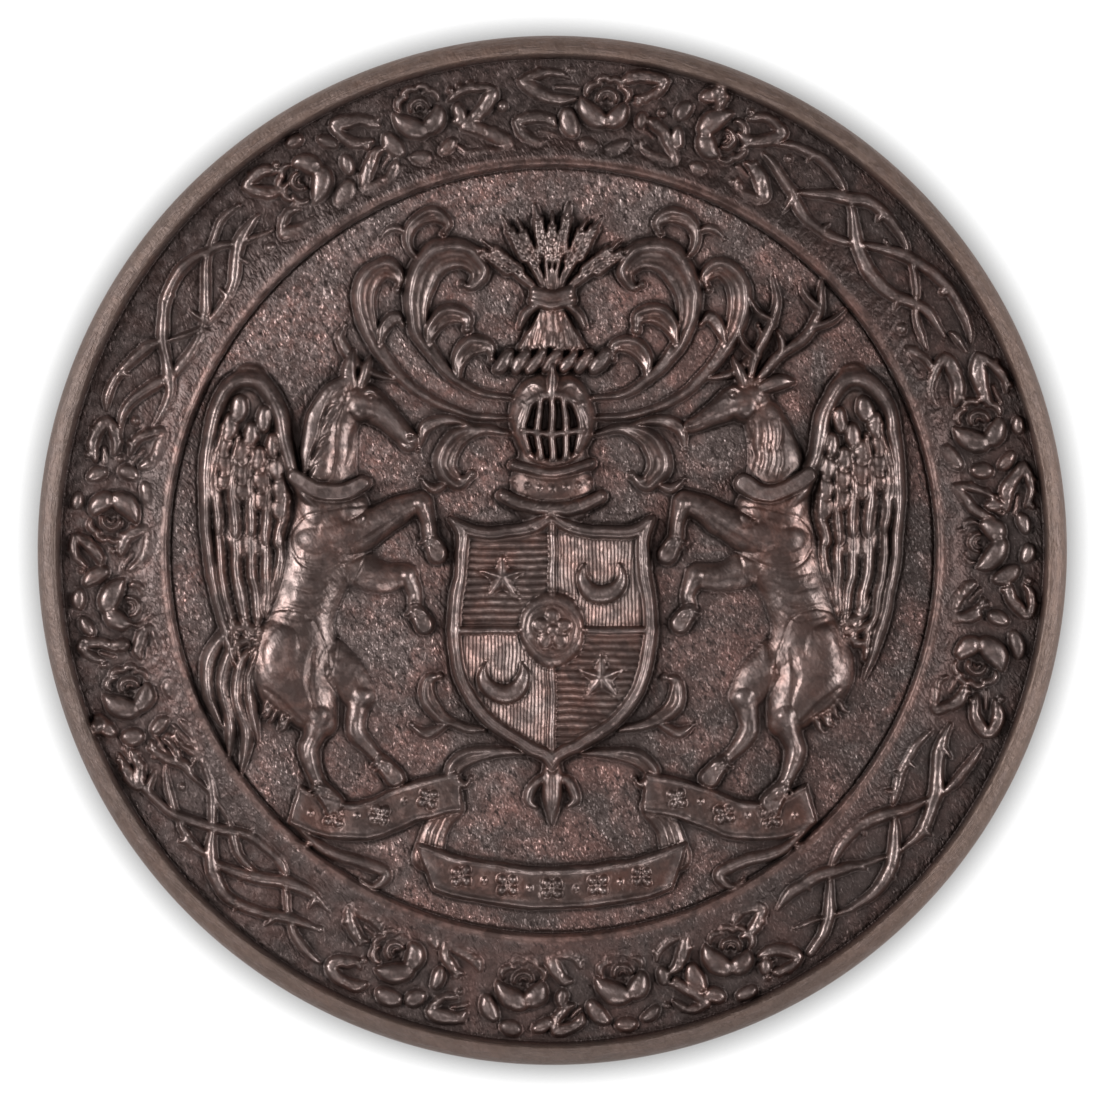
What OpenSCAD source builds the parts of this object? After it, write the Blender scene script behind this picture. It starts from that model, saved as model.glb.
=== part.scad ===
// A round cast bronze medal, lying on its plain back with the relief upwards.
// The tables of the relief are drawn for a medal 57 mm across and scaled with it.
// Heights of the relief are counted from the flat field inside the ring.

/* [Disc] */
// Diameter over the rim
medal_d = 57; // [45:1:76]
// Thickness of the metal under the flat field
field_t = 3.2; // [2.4:0.1:5]
// Height of the rim above the field
rim_rise = 0.74; // [0.4:0.02:1]
// Depth of the border's trough below the field
trough_drop = 0.2; // [0.04:0.02:0.4]
// Height of the ring round the field
ring_rise = 0.44; // [0.2:0.02:0.6]
// Width of the rounding at the back's edge
back_round = 0.5; // [0.2:0.1:0.8]

/* [Relief] */
// Scale of the height of everything raised
relief = 1; // [0.5:0.05:1.3]
// Scale of the width of the border's briar stems
stem_scale = 1; // [0.7:0.05:1.3]
// Feathers in each row of a wing
feathers = 6; // [4:1:8]
// Outer petals of each rose
rose_petals = 5; // [4:1:7]
// Stems that weave through each braid
braid_stems = 3; // [2:1:3]
// Ears of wheat in the sheaf
wheat_ears = 5; // [3:2:7]

/* [Detail] */
// Facets round the disc
disc_facets = 60; // [48:4:80]
// Facets round a petal or a small boss
boss_facets = 5; // [4:1:7]
// Stretches along each stem of a braid
braid_stretches = 7; // [6:1:9]

/* [Hidden] */

bronze = [0.27, 0.19, 0.17];
drawn_d = 57;
fit = medal_d / drawn_d;
// how far below the field every raised form is rooted, and the least half width of a form
sink = 0.5;
thinnest = 0.08;
// share of the half width, and share of the rise, across a ridge
ROUND = [[-1, 0], [-0.62, 0.72], [0, 1], [0.62, 0.72], [1, 0]];
SHARP = [[-1, 0], [0, 1], [1, 0]];
FLAT = [[-1, 0], [-0.92, 1], [0.92, 1], [1, 0]];

// height of each form above what it stands on
petal_rise = 0.5;
bud_rise = 0.66;
leaf_rise = 0.46;
stem_rise = 0.46;
lump_rise = 0.7;
far_limb_rise = 0.62;
trunk_rise = 1.05;
haunch_rise = 1.02;
foreleg_rise = 1.08;
head_rise = 1.12;
ear_rise = 0.95;
horn_rise = 0.7;
tail_rise = 0.6;
collar_rise = 1.25;
feather_rise = 0.5;
wing_arm_rise = 0.9;
helm_rise = 1.25;
visor_floor = 0.62;
bar_rise = 1.02;
gorget_rise = 0.8;
wreath_rise = 0.9;
wheat_rise = 0.62;
tie_rise = 1;
scroll_rise = 0.66;
ribbon_rise = 0.56;
fold_rise = 0.3;
drop_rise = 0.7;

braid_radius = 24.75;
braid_swing = 1.28;
stem_half = 0.3;
stem_end_half = 0.14;
rose_core = 1.2;
rose_petal_reach = 1.8;
petal_half = 0.44;
petal_gap_half = 0.2;

// radius and height of the turned profile, from the field outwards
PROFILE = [
    [21.2, 0], [21.38, 0.82 * ring_rise], [21.6, ring_rise], [22.6, -trough_drop], [27.2, -trough_drop],
    [27.4, 0.74 * rim_rise], [27.85, rim_rise], [28.25, 0.68 * rim_rise], [28.5, 0]];

// bearing from the top, radius and turn of each rose
ROSES = [
    [6.7, 24.75, 150], [21, 24.6, 300], [74.5, 24.8, 60], [89, 24.6, 150], [103, 24.75, 200],
    [156.6, 24.7, 20], [170, 24.5, 0], [184, 24.6, 10], [199.8, 24.7, 150],
    [250.5, 24.8, 200], [262.8, 24.6, 100], [275.5, 24.8, 160], [326, 24.6, 60], [343, 24.9, 190]];
// bearing of the feet of a pair of leaves, and degrees from there to their tips
LEAF_PAIRS = [
    [10.6, 4.4], [2.2, -5], [24.8, 5], [69.8, -5], [79.2, 4.4], [107.2, 5.2], [152.4, -5],
    [204.2, 4.8], [246.3, -5.2], [280.2, 5], [321.7, -3.6], [330.6, 4.6], [347.8, 5.2]];
// bearing and lean of a short pair of leaves between two roses
GAP_PAIRS = [[96, 1.6], [163.4, -1.4], [177, -1], [191.2, 1.4], [256.6, 0.6], [269.2, -1.2], [14.4, 1.6]];
// radius at the foot and at the tip, share of the pair's sweep and half width of its outer and inner leaf
PAIR_LANES = [[25.5, 26.4, 1, 0.8], [24, 22.9, 1.1, 0.85]];
GAP_LANES = [[25, 26.6, 1, 0.6], [24.2, 22.7, -1, 0.6]];
// bearings of a braid's ends, half turns of its stems and phase of the first stem
BRAIDS = [[27.5, 64.5, 2.6, 20], [112.5, 149.5, 2.6, 80], [208.5, 246, 2.6, 150], [284.5, 318.5, 2.4, 220]];
// bearing, radius, length along the border and width of a lump where the casting bridged the rim
LUMPS = [[20, 26.9, 0.9, 0.6], [249, 27, 0.8, 0.55]];

// x, y and half width along the parts of a rearing beast that faces the shield from the left
TRUNK = [[-14.3, -5.9, 2.5], [-13.9, -3.4, 2.05], [-13, -0.9, 2.2], [-12.1, 1.4, 2.35],
    [-11.9, 3.3, 1.95], [-12, 5.2, 1.6], [-11.6, 7.2, 1.25], [-10.9, 8.6, 1]];
NEAR_HIND = [[-14.5, -6.4, 2.35], [-13.4, -8.3, 1.75], [-12.7, -9.4, 1.1], [-13.5, -11, 0.74],
    [-13.1, -12.5, 0.48], [-12.1, -13.9, 0.62]];
FAR_HIND = [[-12.7, -6.4, 1.7], [-11, -7.4, 1.25], [-10.6, -8.6, 0.8], [-10.9, -10.1, 0.62],
    [-9.6, -11.5, 0.46], [-8.7, -12.6, 0.62]];
NEAR_FORE = [[-12.7, 0.8, 1], [-11.5, 1.1, 1.5], [-10.2, 1.2, 1.15], [-8.3, 2.3, 0.82], [-7.2, 2.7, 0.7],
    [-6.8, 1.6, 0.48], [-6.3, -0.1, 0.55]];
FAR_FORE = [[-11.4, -0.7, 1.2], [-9.4, -1.5, 0.92], [-7.9, -1.3, 0.68], [-7.5, -2.5, 0.46], [-7.1, -4.1, 0.55]];
HORSE_HEAD = [[-11, 8.7, 1.08], [-10, 8.1, 1], [-9, 7.2, 0.74], [-7.9, 6.1, 0.6]];
STAG_HEAD = [[-11, 8.7, 1.05], [-10, 8.3, 0.95], [-8.9, 7.6, 0.62], [-7.5, 6.9, 0.42]];
EARS = [[[-11.2, 9.3, 0.34], [-11.35, 10.2, 0.3], [-11.1, 11, 0.08]],
    [[-10.6, 9.4, 0.26], [-10.3, 10.1, 0.22], [-9.9, 10.7, 0.08]]];
HORSE_TAIL = [[[-16.4, -4.6, 0.5], [-18, -5.6, 0.6], [-18.6, -7.4, 0.5], [-18.2, -10, 0.1]],
    [[-16.4, -4.8, 0.5], [-17.4, -6.4, 0.6], [-17.3, -9.2, 0.55], [-16.9, -12.2, 0.1]]];
STAG_TAIL = [[[-16.2, -4.2, 0.7], [-17.2, -3.9, 0.62], [-17.9, -3.2, 0.1]]];
ANTLERS = [[[-11.2, 9.5, 0.3], [-12.6, 10.6, 0.28], [-13.8, 12.2, 0.26], [-13.7, 14, 0.2], [-13.1, 15.2, 0.1]],
    [[-10.8, 9.6, 0.26], [-11.2, 11, 0.25], [-10.9, 12.6, 0.22], [-10.1, 13.8, 0.1]],
    [[-13.6, 11.8, 0.2], [-14.6, 12.6, 0.18], [-14.9, 13.6, 0.1]],
    [[-12.4, 10.5, 0.2], [-12.2, 11.5, 0.18], [-11.7, 12.2, 0.1]],
    [[-11.1, 10.6, 0.18], [-10.2, 11.1, 0.16], [-9.6, 11.9, 0.1]]];
COLLAR = [[-13.4, 4.9, 0.34], [-12, 4.2, 0.38], [-10.4, 4.2, 0.34]];
WING_ARM = [[-13.1, 1.9, 0.9], [-14.2, 3.3, 0.82], [-14.8, 5.6, 0.7], [-15.3, 8.2, 0.72],
    [-16.4, 9.6, 0.7], [-17.6, 9, 0.55], [-18.3, 7.6, 0.4]];
// root and tip of a wing row's outermost feather, root and tip of its innermost, and the half width
WING_ROWS = [
    [[-18.2, 8.2], [-18.9, 0.3], [-15.4, 4], [-15.8, -3.6], 0.5],
    [[-18, 8.2], [-18.1, 3.6], [-14.4, 4.2], [-15.1, 0.6], 0.44]];
feather_bow = 0.2;
feather_fan = 1.6;

// x and y down the right-hand side of the shield, from the point at the top to the point at the foot
SHIELD_SIDE = [[0, 2.3], [0.9, 1.75], [2.2, 1.4], [4.2, 1.35], [5.7, 1.9], [5.35, 0.6], [5.45, -1.2],
    [5.75, -3.2], [5.75, -5.4], [5.2, -7.6], [3.9, -9.5], [1.9, -10.9], [0.6, -11.6], [0, -12.3]];
shield_border = 0.55;
shield_rise = 0.8;
shield_floor = 0.5;
charge_rise = 0.32;
shield_middle_y = -4.4;

// x, y and half width along the right-hand scrolls of the mantling
SCROLLS = [
    [[2.3, 8.6, 0.3], [5.9, 10.6, 0.55], [7, 12.6, 0.62], [6.7, 14.9, 0.66], [5.2, 16, 0.62], [3.9, 15.2, 0.52],
        [4.4, 13.8, 0.4]],
    [[5.2, 9.7, 0.3], [5, 11.2, 0.42], [4, 12, 0.4], [3.2, 11.4, 0.3]],
    [[6.9, 12.2, 0.3], [8.2, 13, 0.4], [8.9, 14.6, 0.36], [8, 15.6, 0.2]],
    [[5.9, 15.9, 0.3], [6.6, 17.3, 0.35], [5.9, 18.5, 0.28], [4.8, 18.1, 0.2]],
    [[2.4, 7.8, 0.28], [5.2, 8.1, 0.34], [7.8, 9.7, 0.4], [11.4, 14, 0.42], [13, 14.3, 0.34], [13.4, 12.9, 0.24]],
    [[2.4, 6.6, 0.26], [4.2, 6.6, 0.36], [5.6, 5.6, 0.4], [5.9, 4.2, 0.34], [4.7, 3.6, 0.24]],
    [[2.4, -11.6, 0.16], [3.8, -11, 0.3], [5.4, -10.9, 0.34], [6.4, -12, 0.22]]];

// x, y and half width along the right-hand ribbon, the front ribbon and the fold between them
RIBBON_SIDE = [[5, -13.5, 1.1], [7.6, -13.9, 1.1], [10.2, -14.9, 1.1], [12.6, -14.8, 1.1], [14.4, -14, 1.1]];
RIBBON_FRONT = [[-7.4, -17.3, 1.15], [-4.6, -18.2, 1.15], [0, -18.7, 1.15], [4.6, -18.2, 1.15], [7.4, -17.3, 1.15]];
RIBBON_FOLD = [[5.9, -14.4, 0.8], [6.6, -15.4, 0.7], [6.9, -16.9, 0.9]];
RIBBON_TAIL = [[13.2, -16.2, 0.14], [10.9, -17.3, 0.26], [9, -17.4, 0.26], [8.6, -18.4, 0.2]];
SHIELD_DROP = [[0, -12, 0.55], [0, -13.2, 0.5], [0, -14.9, 0.1]];

function polar(radius, bearing) = [radius * sin(bearing), radius * cos(bearing)];
function flip(rows) = [for (row = rows) [-row[0], row[1], row[2]]];
function mix(a, b, t) = a + (b - a) * t;

// A raised strip along a table of x, y and half width, lower where it is thinner.
module ridge(rows, rise, lift = 0, section = ROUND, closed = false) {
    count = len(section);
    total = len(rows);
    last = total - 1;
    widest = max([for (row = rows) row[2]]);
    function row_at(i) = closed ? rows[(i + total) % total] : rows[max(0, min(i, last))];
    function across(i) =
        let (step = row_at(i + 1) - row_at(i - 1), size = norm([step[0], step[1]]))
        [-step[1] / size, step[0] / size];
    function ring(i) =
        let (half = max(rows[i][2], thinnest), top = rise * relief * sqrt(half / widest), side = across(i))
        [for (edge = section)
            [rows[i][0] + side[0] * half * edge[0], rows[i][1] + side[1] * half * edge[0],
                edge[1] == 0 ? -sink : lift + top * edge[1]]];
    points = [for (i = [0:last]) each ring(i)];
    sides = [for (i = [0:closed ? last : last - 1]) for (k = [0:count - 1])
        let (j = (i + 1) % total, a = count * i, b = count * j, next = (k + 1) % count)
        each [[a + k, a + next, b + next], [a + k, b + next, b + k]]];
    start = [for (k = [count - 1:-1:0]) k];
    end = [for (k = [0:count - 1]) count * last + k];
    polyhedron(points, closed ? sides : concat(sides, [start, end]));
}

// An oval boss that narrows upwards.
module boss(at, half, turn, rise, lift = 0, sides = boss_facets, crown = 0.5) {
    translate([at[0], at[1], 0])
        rotate(turn)
            scale([half[0], half[1], 1])
                hull() {
                    translate([0, 0, -sink]) cylinder(h = sink + lift + 0.15 * rise * relief, r = 1, $fn = sides);
                    cylinder(h = lift + rise * relief, r = crown, $fn = sides);
                }
}

// The turned disc with its plain back, rounded edge, ring, trough and rim.
module disc() {
    outer = PROFILE[len(PROFILE) - 1][0];
    section = concat(
        [[0, -field_t], [outer - back_round, -field_t], [outer, back_round - field_t]],
        [for (i = [len(PROFILE) - 1:-1:0]) PROFILE[i]],
        [[0, 0]]);
    rotate_extrude($fn = disc_facets) polygon(section);
}

// One open rose: a bud inside a ring of petals.
module rose(row) {
    at = polar(row[1], row[0]);
    turn = row[2] - row[0];
    boss(at, [rose_core, rose_core], turn, bud_rise, -trough_drop, sides = boss_facets + 2);
    ridge(
        [for (k = [0:2 * rose_petals - 1])
            let (angle = turn + 180 * k / rose_petals, broad = k % 2 == 0)
            [at[0] + rose_petal_reach * cos(angle), at[1] + rose_petal_reach * sin(angle),
                broad ? petal_half : petal_gap_half]],
        petal_rise, -trough_drop, SHARP, closed = true);
}

// Two leaves that spring from one bearing, a lane each.
module leaf_pair(row, lanes) {
    for (lane = lanes) {
        foot = polar(lane[0], row[0]);
        tip = polar(lane[1], row[0] + lane[2] * row[1]);
        middle = mix(foot, tip, 0.45);
        ridge([[foot[0], foot[1], 0.25 * lane[3]], [middle[0], middle[1], lane[3]], [tip[0], tip[1], thinnest]],
            leaf_rise, -trough_drop, SHARP);
    }
}

// Briar stems that weave across the trough between two bearings.
module braid(row) {
    for (stem = [0:braid_stems - 1])
        ridge(
            [for (i = [0:braid_stretches])
                let (
                    t = i / braid_stretches,
                    wave = 180 * row[2] * t + row[3] + 360 * stem / braid_stems,
                    place = polar(braid_radius + braid_swing * sin(wave), mix(row[0], row[1], t)))
                [place[0], place[1], stem_scale * (i == 0 || i == braid_stretches ? stem_end_half : stem_half)]],
            stem_rise, -trough_drop, SHARP);
}

module border() {
    for (row = BRAIDS) braid(row);
    for (row = LEAF_PAIRS) leaf_pair(row, PAIR_LANES);
    for (row = GAP_PAIRS) leaf_pair(row, GAP_LANES);
    for (row = ROSES) rose(row);
    for (row = LUMPS) boss(polar(row[1], row[0]), [row[2], row[3]], -row[0], lump_rise, -trough_drop);
}

module wing(side) {
    for (row = WING_ROWS)
        for (i = [0:feathers - 1]) {
            t = i / (feathers - 1);
            root = mix(row[0], row[2], t);
            tip = mix(row[1], row[3], t) - [0, feather_fan * sin(180 * t)];
            middle = mix(root, tip, 0.5) - [feather_bow, 0];
            feather = [
                [root[0], root[1], 0.7 * row[4]], [middle[0], middle[1], row[4]], [tip[0], tip[1], 0.5 * row[4]]];
            ridge(side > 0 ? flip(feather) : feather, feather_rise * (1 + 0.2 * t), section = SHARP);
        }
    ridge(side > 0 ? flip(WING_ARM) : WING_ARM, wing_arm_rise);
}

// A winged beast rearing against the shield; side is -1 for the left one and 1 for the right.
module supporter(side, head, tail, horns) {
    function turned(rows) = side > 0 ? flip(rows) : rows;
    wing(side);
    ridge(turned(FAR_HIND), far_limb_rise, section = SHARP);
    ridge(turned(FAR_FORE), far_limb_rise, section = SHARP);
    for (rows = tail) ridge(turned(rows), tail_rise, section = SHARP);
    for (rows = horns) ridge(turned(rows), horn_rise, section = SHARP);
    for (rows = EARS) ridge(turned(rows), ear_rise, section = SHARP);
    ridge(turned(TRUNK), trunk_rise);
    ridge(turned(NEAR_HIND), haunch_rise);
    ridge(turned(NEAR_FORE), foreleg_rise);
    ridge(turned(head), head_rise);
    ridge(turned(COLLAR), collar_rise, section = FLAT);
}

module shield_outline() {
    left = [for (i = [len(SHIELD_SIDE) - 2:-1:1]) [-SHIELD_SIDE[i][0], SHIELD_SIDE[i][1]]];
    polygon(concat(SHIELD_SIDE, left));
}

module star(at, reach) {
    translate([at[0], at[1], 0])
        linear_extrude(shield_floor + charge_rise * relief)
            polygon([for (k = [0:9])
                let (radius = k % 2 == 0 ? reach : 0.4 * reach)
                radius * [sin(36 * k), cos(36 * k)]]);
}

module crescent(at, reach) {
    ridge(
        [for (angle = [150:48:390])
            let (half = 0.52 * sin((angle - 150) * 0.75))
            [at[0] + reach * cos(angle), at[1] + reach * sin(angle), max(thinnest, half)]],
        charge_rise, shield_floor, SHARP);
}

// The shield, quartered with stars and crescents round a rose.
module shield() {
    translate([0, 0, -sink]) {
        linear_extrude(sink + shield_floor * relief) shield_outline();
        linear_extrude(sink + shield_rise * relief)
            difference() {
                shield_outline();
                offset(delta = -shield_border) shield_outline();
            }
    }
    ridge([[0, 1.6, 0.16], [0, -11.6, 0.16]], 0.25, shield_floor, SHARP);
    ridge([[-5.3, shield_middle_y, 0.16], [5.3, shield_middle_y, 0.16]], 0.25, shield_floor, SHARP);
    star([-2.75, -1.5], 1.35);
    star([2.75, -7], 1.35);
    crescent([2.75, -1.3], 1.15);
    crescent([-2.75, -6.8], 1.15);
    boss([0, shield_middle_y], [1.75, 2.05], 0, 0.34, shield_floor, sides = 10, crown = 0.9);
    boss([0, shield_middle_y], [1, 1], 90, 0.66, shield_floor);
}

// The helm, facing forwards with a barred opening, on its gorget.
module helm() {
    face_y = 6.7;
    face_r = 1.6;
    bar_pitch = 0.62;
    bar_half = 0.17;
    ridge([[0, 1.9, 2.6], [0, 3.6, 2.4], [0, 4.8, 1.9]], gorget_rise);
    difference() {
        boss([0, 7.4], [2.45, 2.9], 0, helm_rise, sides = 12, crown = 0.7);
        translate([0, face_y, visor_floor * relief]) cylinder(h = helm_rise * relief, r = face_r, $fn = 10);
    }
    for (k = [-2:2]) {
        reach = sqrt(1.15 * pow(face_r, 2) - pow(bar_pitch * k, 2));
        ridge([[bar_pitch * k, face_y - reach, bar_half], [bar_pitch * k, face_y + reach, bar_half]],
            bar_rise, section = SHARP);
    }
    ridge([[-2.6, 2.7, 0.34], [0, 1.95, 0.36], [2.6, 2.7, 0.34]], gorget_rise * 1.35, section = SHARP);
}

// The twisted wreath and the wheat sheaf that stands on it.
module crest() {
    for (k = [0:5]) ridge([[-2.8 + 0.96 * k, 10.1, 0.3], [-2 + 0.96 * k, 10.9, 0.3]], wreath_rise, section = SHARP);
    for (k = [0:wheat_ears - 1]) {
        t = 2 * k / (wheat_ears - 1) - 1;
        order = 1 - abs(t);
        top = [3.1 * t, 18 - 1.5 * t * t];
        ridge(
            [[1.9 * t, 11.3, 0.26], [0.5 * t, 13.4, 0.24], [1.8 * t, 16.2, 0.24], [top[0], top[1], 0.4],
                [top[0] + 0.5 * t, top[1] + 1.1, thinnest]],
            wheat_rise * (1 + 0.3 * order), section = SHARP);
    }
    ridge([[-1.1, 14.2, 0.34], [0, 13.9, 0.4], [1.1, 14.2, 0.34]], tie_rise, section = SHARP);
}

module mantling() {
    for (rows = SCROLLS) {
        ridge(rows, scroll_rise, section = SHARP);
        ridge(flip(rows), scroll_rise, section = SHARP);
    }
}

module ribbon() {
    for (rows = [RIBBON_FOLD, flip(RIBBON_FOLD)]) ridge(rows, fold_rise, section = FLAT);
    for (rows = [RIBBON_SIDE, flip(RIBBON_SIDE), RIBBON_FRONT]) ridge(rows, ribbon_rise, section = FLAT);
    for (rows = [RIBBON_TAIL, flip(RIBBON_TAIL)]) ridge(rows, scroll_rise * 0.6, section = SHARP);
    ridge(SHIELD_DROP, drop_rise, section = SHARP);
}

module medal() {
    color(bronze)
        translate([0, 0, field_t])
            scale([fit, fit, 1]) {
                disc();
                border();
                mantling();
                supporter(-1, HORSE_HEAD, HORSE_TAIL, []);
                supporter(1, STAG_HEAD, STAG_TAIL, ANTLERS);
                ribbon();
                shield();
                helm();
                crest();
            }
}

medal();
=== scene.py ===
import math

import bpy
import numpy as np
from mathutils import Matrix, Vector


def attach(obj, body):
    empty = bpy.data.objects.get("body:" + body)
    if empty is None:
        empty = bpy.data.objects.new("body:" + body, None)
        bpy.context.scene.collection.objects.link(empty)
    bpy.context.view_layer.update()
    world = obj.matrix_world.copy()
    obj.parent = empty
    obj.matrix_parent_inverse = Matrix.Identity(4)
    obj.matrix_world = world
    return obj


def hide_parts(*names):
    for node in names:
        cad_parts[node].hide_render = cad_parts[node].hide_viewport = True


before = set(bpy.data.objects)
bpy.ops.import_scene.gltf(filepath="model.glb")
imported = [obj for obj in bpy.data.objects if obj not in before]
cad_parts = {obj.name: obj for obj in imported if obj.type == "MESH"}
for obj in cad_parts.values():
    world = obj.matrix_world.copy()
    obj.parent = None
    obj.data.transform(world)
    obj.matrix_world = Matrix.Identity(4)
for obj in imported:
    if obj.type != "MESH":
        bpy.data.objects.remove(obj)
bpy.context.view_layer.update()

MM = 0.001

# Sculpting grid: its spacing, half its width and its points a side
PITCH = 0.05
HALF = 28.75
COUNT = int(round(2 * HALF / PITCH)) + 1
# what stands for places beyond a path's reach, spacing of points along a path, and thinnest half width
FAR = 9.0
STEP = 0.12
THINNEST = 0.035
# usual depth of the groove that sets a form off from the ground, its width, and how low under the
# floor the ground may lie for it to be cut
MOAT = 0.09
MOAT_WIDE = 0.1
MOAT_FROM = -0.03

# Turned profile of the disc: height of the trough, radius of the rim's crest, how far the rim falls
# to the edge, its height, and radius of the edge
TROUGH = -0.2
RIM_R = 27.5
RIM_DROP = 1.15
RIM_RISE = 0.74
EDGE_R = 28.5
# radius and height from the field outwards
PROFILE = [
    (0, 0), (20.98, 0), (21.08, -0.04), (21.16, -0.16), (21.24, 0.02), (21.32, 0.34), (21.38, 0.43),
    (21.44, 0.44), (21.52, 0.41), (21.6, 0.37), (21.7, 0.34), (21.82, 0.32), (21.95, 0.3), (22.1, 0.27),
    (22.25, 0.22), (22.4, 0.15), (22.55, 0.08), (22.7, 0.02), (22.9, -0.04), (23.2, -0.09), (23.6, -0.15),
    (24.1, TROUGH), (26.7, TROUGH), (27.1, -0.2), (27.22, -0.26), (27.3, 0), (27.38, 0.5), (27.45, 0.68),
    (RIM_R, RIM_RISE)]
# radius and share of painted shade, partly dark patina, over the floor of the trough
SUNK = [(21.6, 0), (21.9, 0.98), (22.6, 0.96), (23.2, 1)]

# Border: bearings run clockwise from the top, in degrees
# bearing, radius and facing of a rose; facing 0 looks clockwise along the border and 90 outwards
ROSES = [
    (6.8, 24.43, 270), (21.3, 24.75, 180), (74.8, 24.66, 0), (89, 24.25, 90), (103.5, 24.35, 180),
    (156.6, 24.7, 65), (170.5, 24.45, 97), (183.9, 24.55, 94), (200, 24.25, 150), (250.4, 24.66, 180),
    (262.7, 24.25, 90), (275.6, 24.4, 0), (327.3, 24.66, 0), (343.2, 24.85, 270)]
# bearing and radius of a leaf's foot, bearing and radius of its tip, half width
LEAVES = [
    (324.9, 25.3, 319.5, 26.4, 0.75), (324.6, 22.95, 319.1, 23.1, 0.68), (337.5, 24.9, 332.4, 26.5, 0.75),
    (338.0, 23.7, 332.4, 22.4, 0.78), (346.8, 24.9, 353.0, 25.75, 0.98), (347.0, 23.5, 354.4, 22.4, 0.82),
    (3.0, 25.6, 355.9, 26.1, 0.8), (0.5, 22.95, 354.9, 23.8, 0.8), (8.8, 25.7, 13.8, 26.75, 0.78),
    (11.5, 24.0, 17.9, 22.45, 0.8), (23.8, 25.7, 29.5, 26.45, 0.76), (26.0, 23.6, 31.2, 22.6, 0.72),
    (71.8, 26.15, 65.2, 25.95, 0.78), (70.1, 23.15, 63.3, 24.35, 0.85), (64.9, 22.9, 60.0, 22.45, 0.5),
    (85.5, 25.65, 79.6, 26.6, 0.78), (85.5, 25.0, 80.7, 22.4, 0.62), (93.6, 25.6, 98.0, 26.75, 0.62),
    (95.3, 23.8, 99.9, 22.3, 0.74), (108.0, 25.2, 113.2, 26.3, 0.78), (107.6, 23.5, 113.0, 22.9, 0.82),
    (165.6, 25.2, 161.0, 26.65, 0.68), (165.3, 23.9, 160.7, 22.4, 0.72), (154.4, 23.4, 149.2, 22.8, 0.7),
    (153.4, 25.6, 148.4, 26.4, 0.7), (176.6, 25.4, 180.0, 26.6, 0.62), (176.5, 23.6, 180.5, 22.3, 0.72),
    (190.6, 25.6, 195.2, 26.4, 0.7), (190.3, 23.9, 195.5, 22.5, 0.72), (203.4, 25.7, 208.4, 26.2, 0.74),
    (204.4, 23.6, 209.8, 22.7, 0.78), (245.2, 26.0, 239.8, 26.5, 0.5), (245.0, 24.3, 240.2, 23.8, 0.52),
    (245.4, 22.95, 239.4, 22.5, 0.48), (256.4, 25.0, 258.9, 26.7, 0.55), (255.0, 23.2, 259.6, 22.6, 0.6),
    (267.6, 25.3, 271.9, 26.5, 0.62), (267.6, 23.8, 273.4, 22.3, 0.78), (281.0, 25.3, 286.5, 25.7, 0.8),
    (281.8, 23.7, 287.6, 22.4, 0.76)]
# place along a leaf, how far out its edge lies as a share of the half width, and half width of the edge
LEAF_EDGE = [
    (0, 0.62, 0.1), (0.18, 0.84, 0.21), (0.42, 0.86, 0.25), (0.66, 0.6, 0.27), (0.86, 0.24, 0.25),
    (1, 0, 0.08)]
# bearing, radius and size of a berry
BERRIES = [
    (353.6, 24.7, 0.32), (317.2, 22.9, 0.3), (31.3, 25.3, 0.22), (84.4, 22.1, 0.26), (287.4, 24.1, 0.27),
    (57.6, 22.9, 0.3), (56.7, 25.9, 0.24), (237.5, 24.3, 0.22), (147, 22.3, 0.24), (242.3, 25.6, 0.18),
    (242.4, 24.8, 0.16), (14.2, 25.0, 0.24), (132.4, 23.25, 0.18), (211.6, 24.6, 0.2)]
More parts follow.
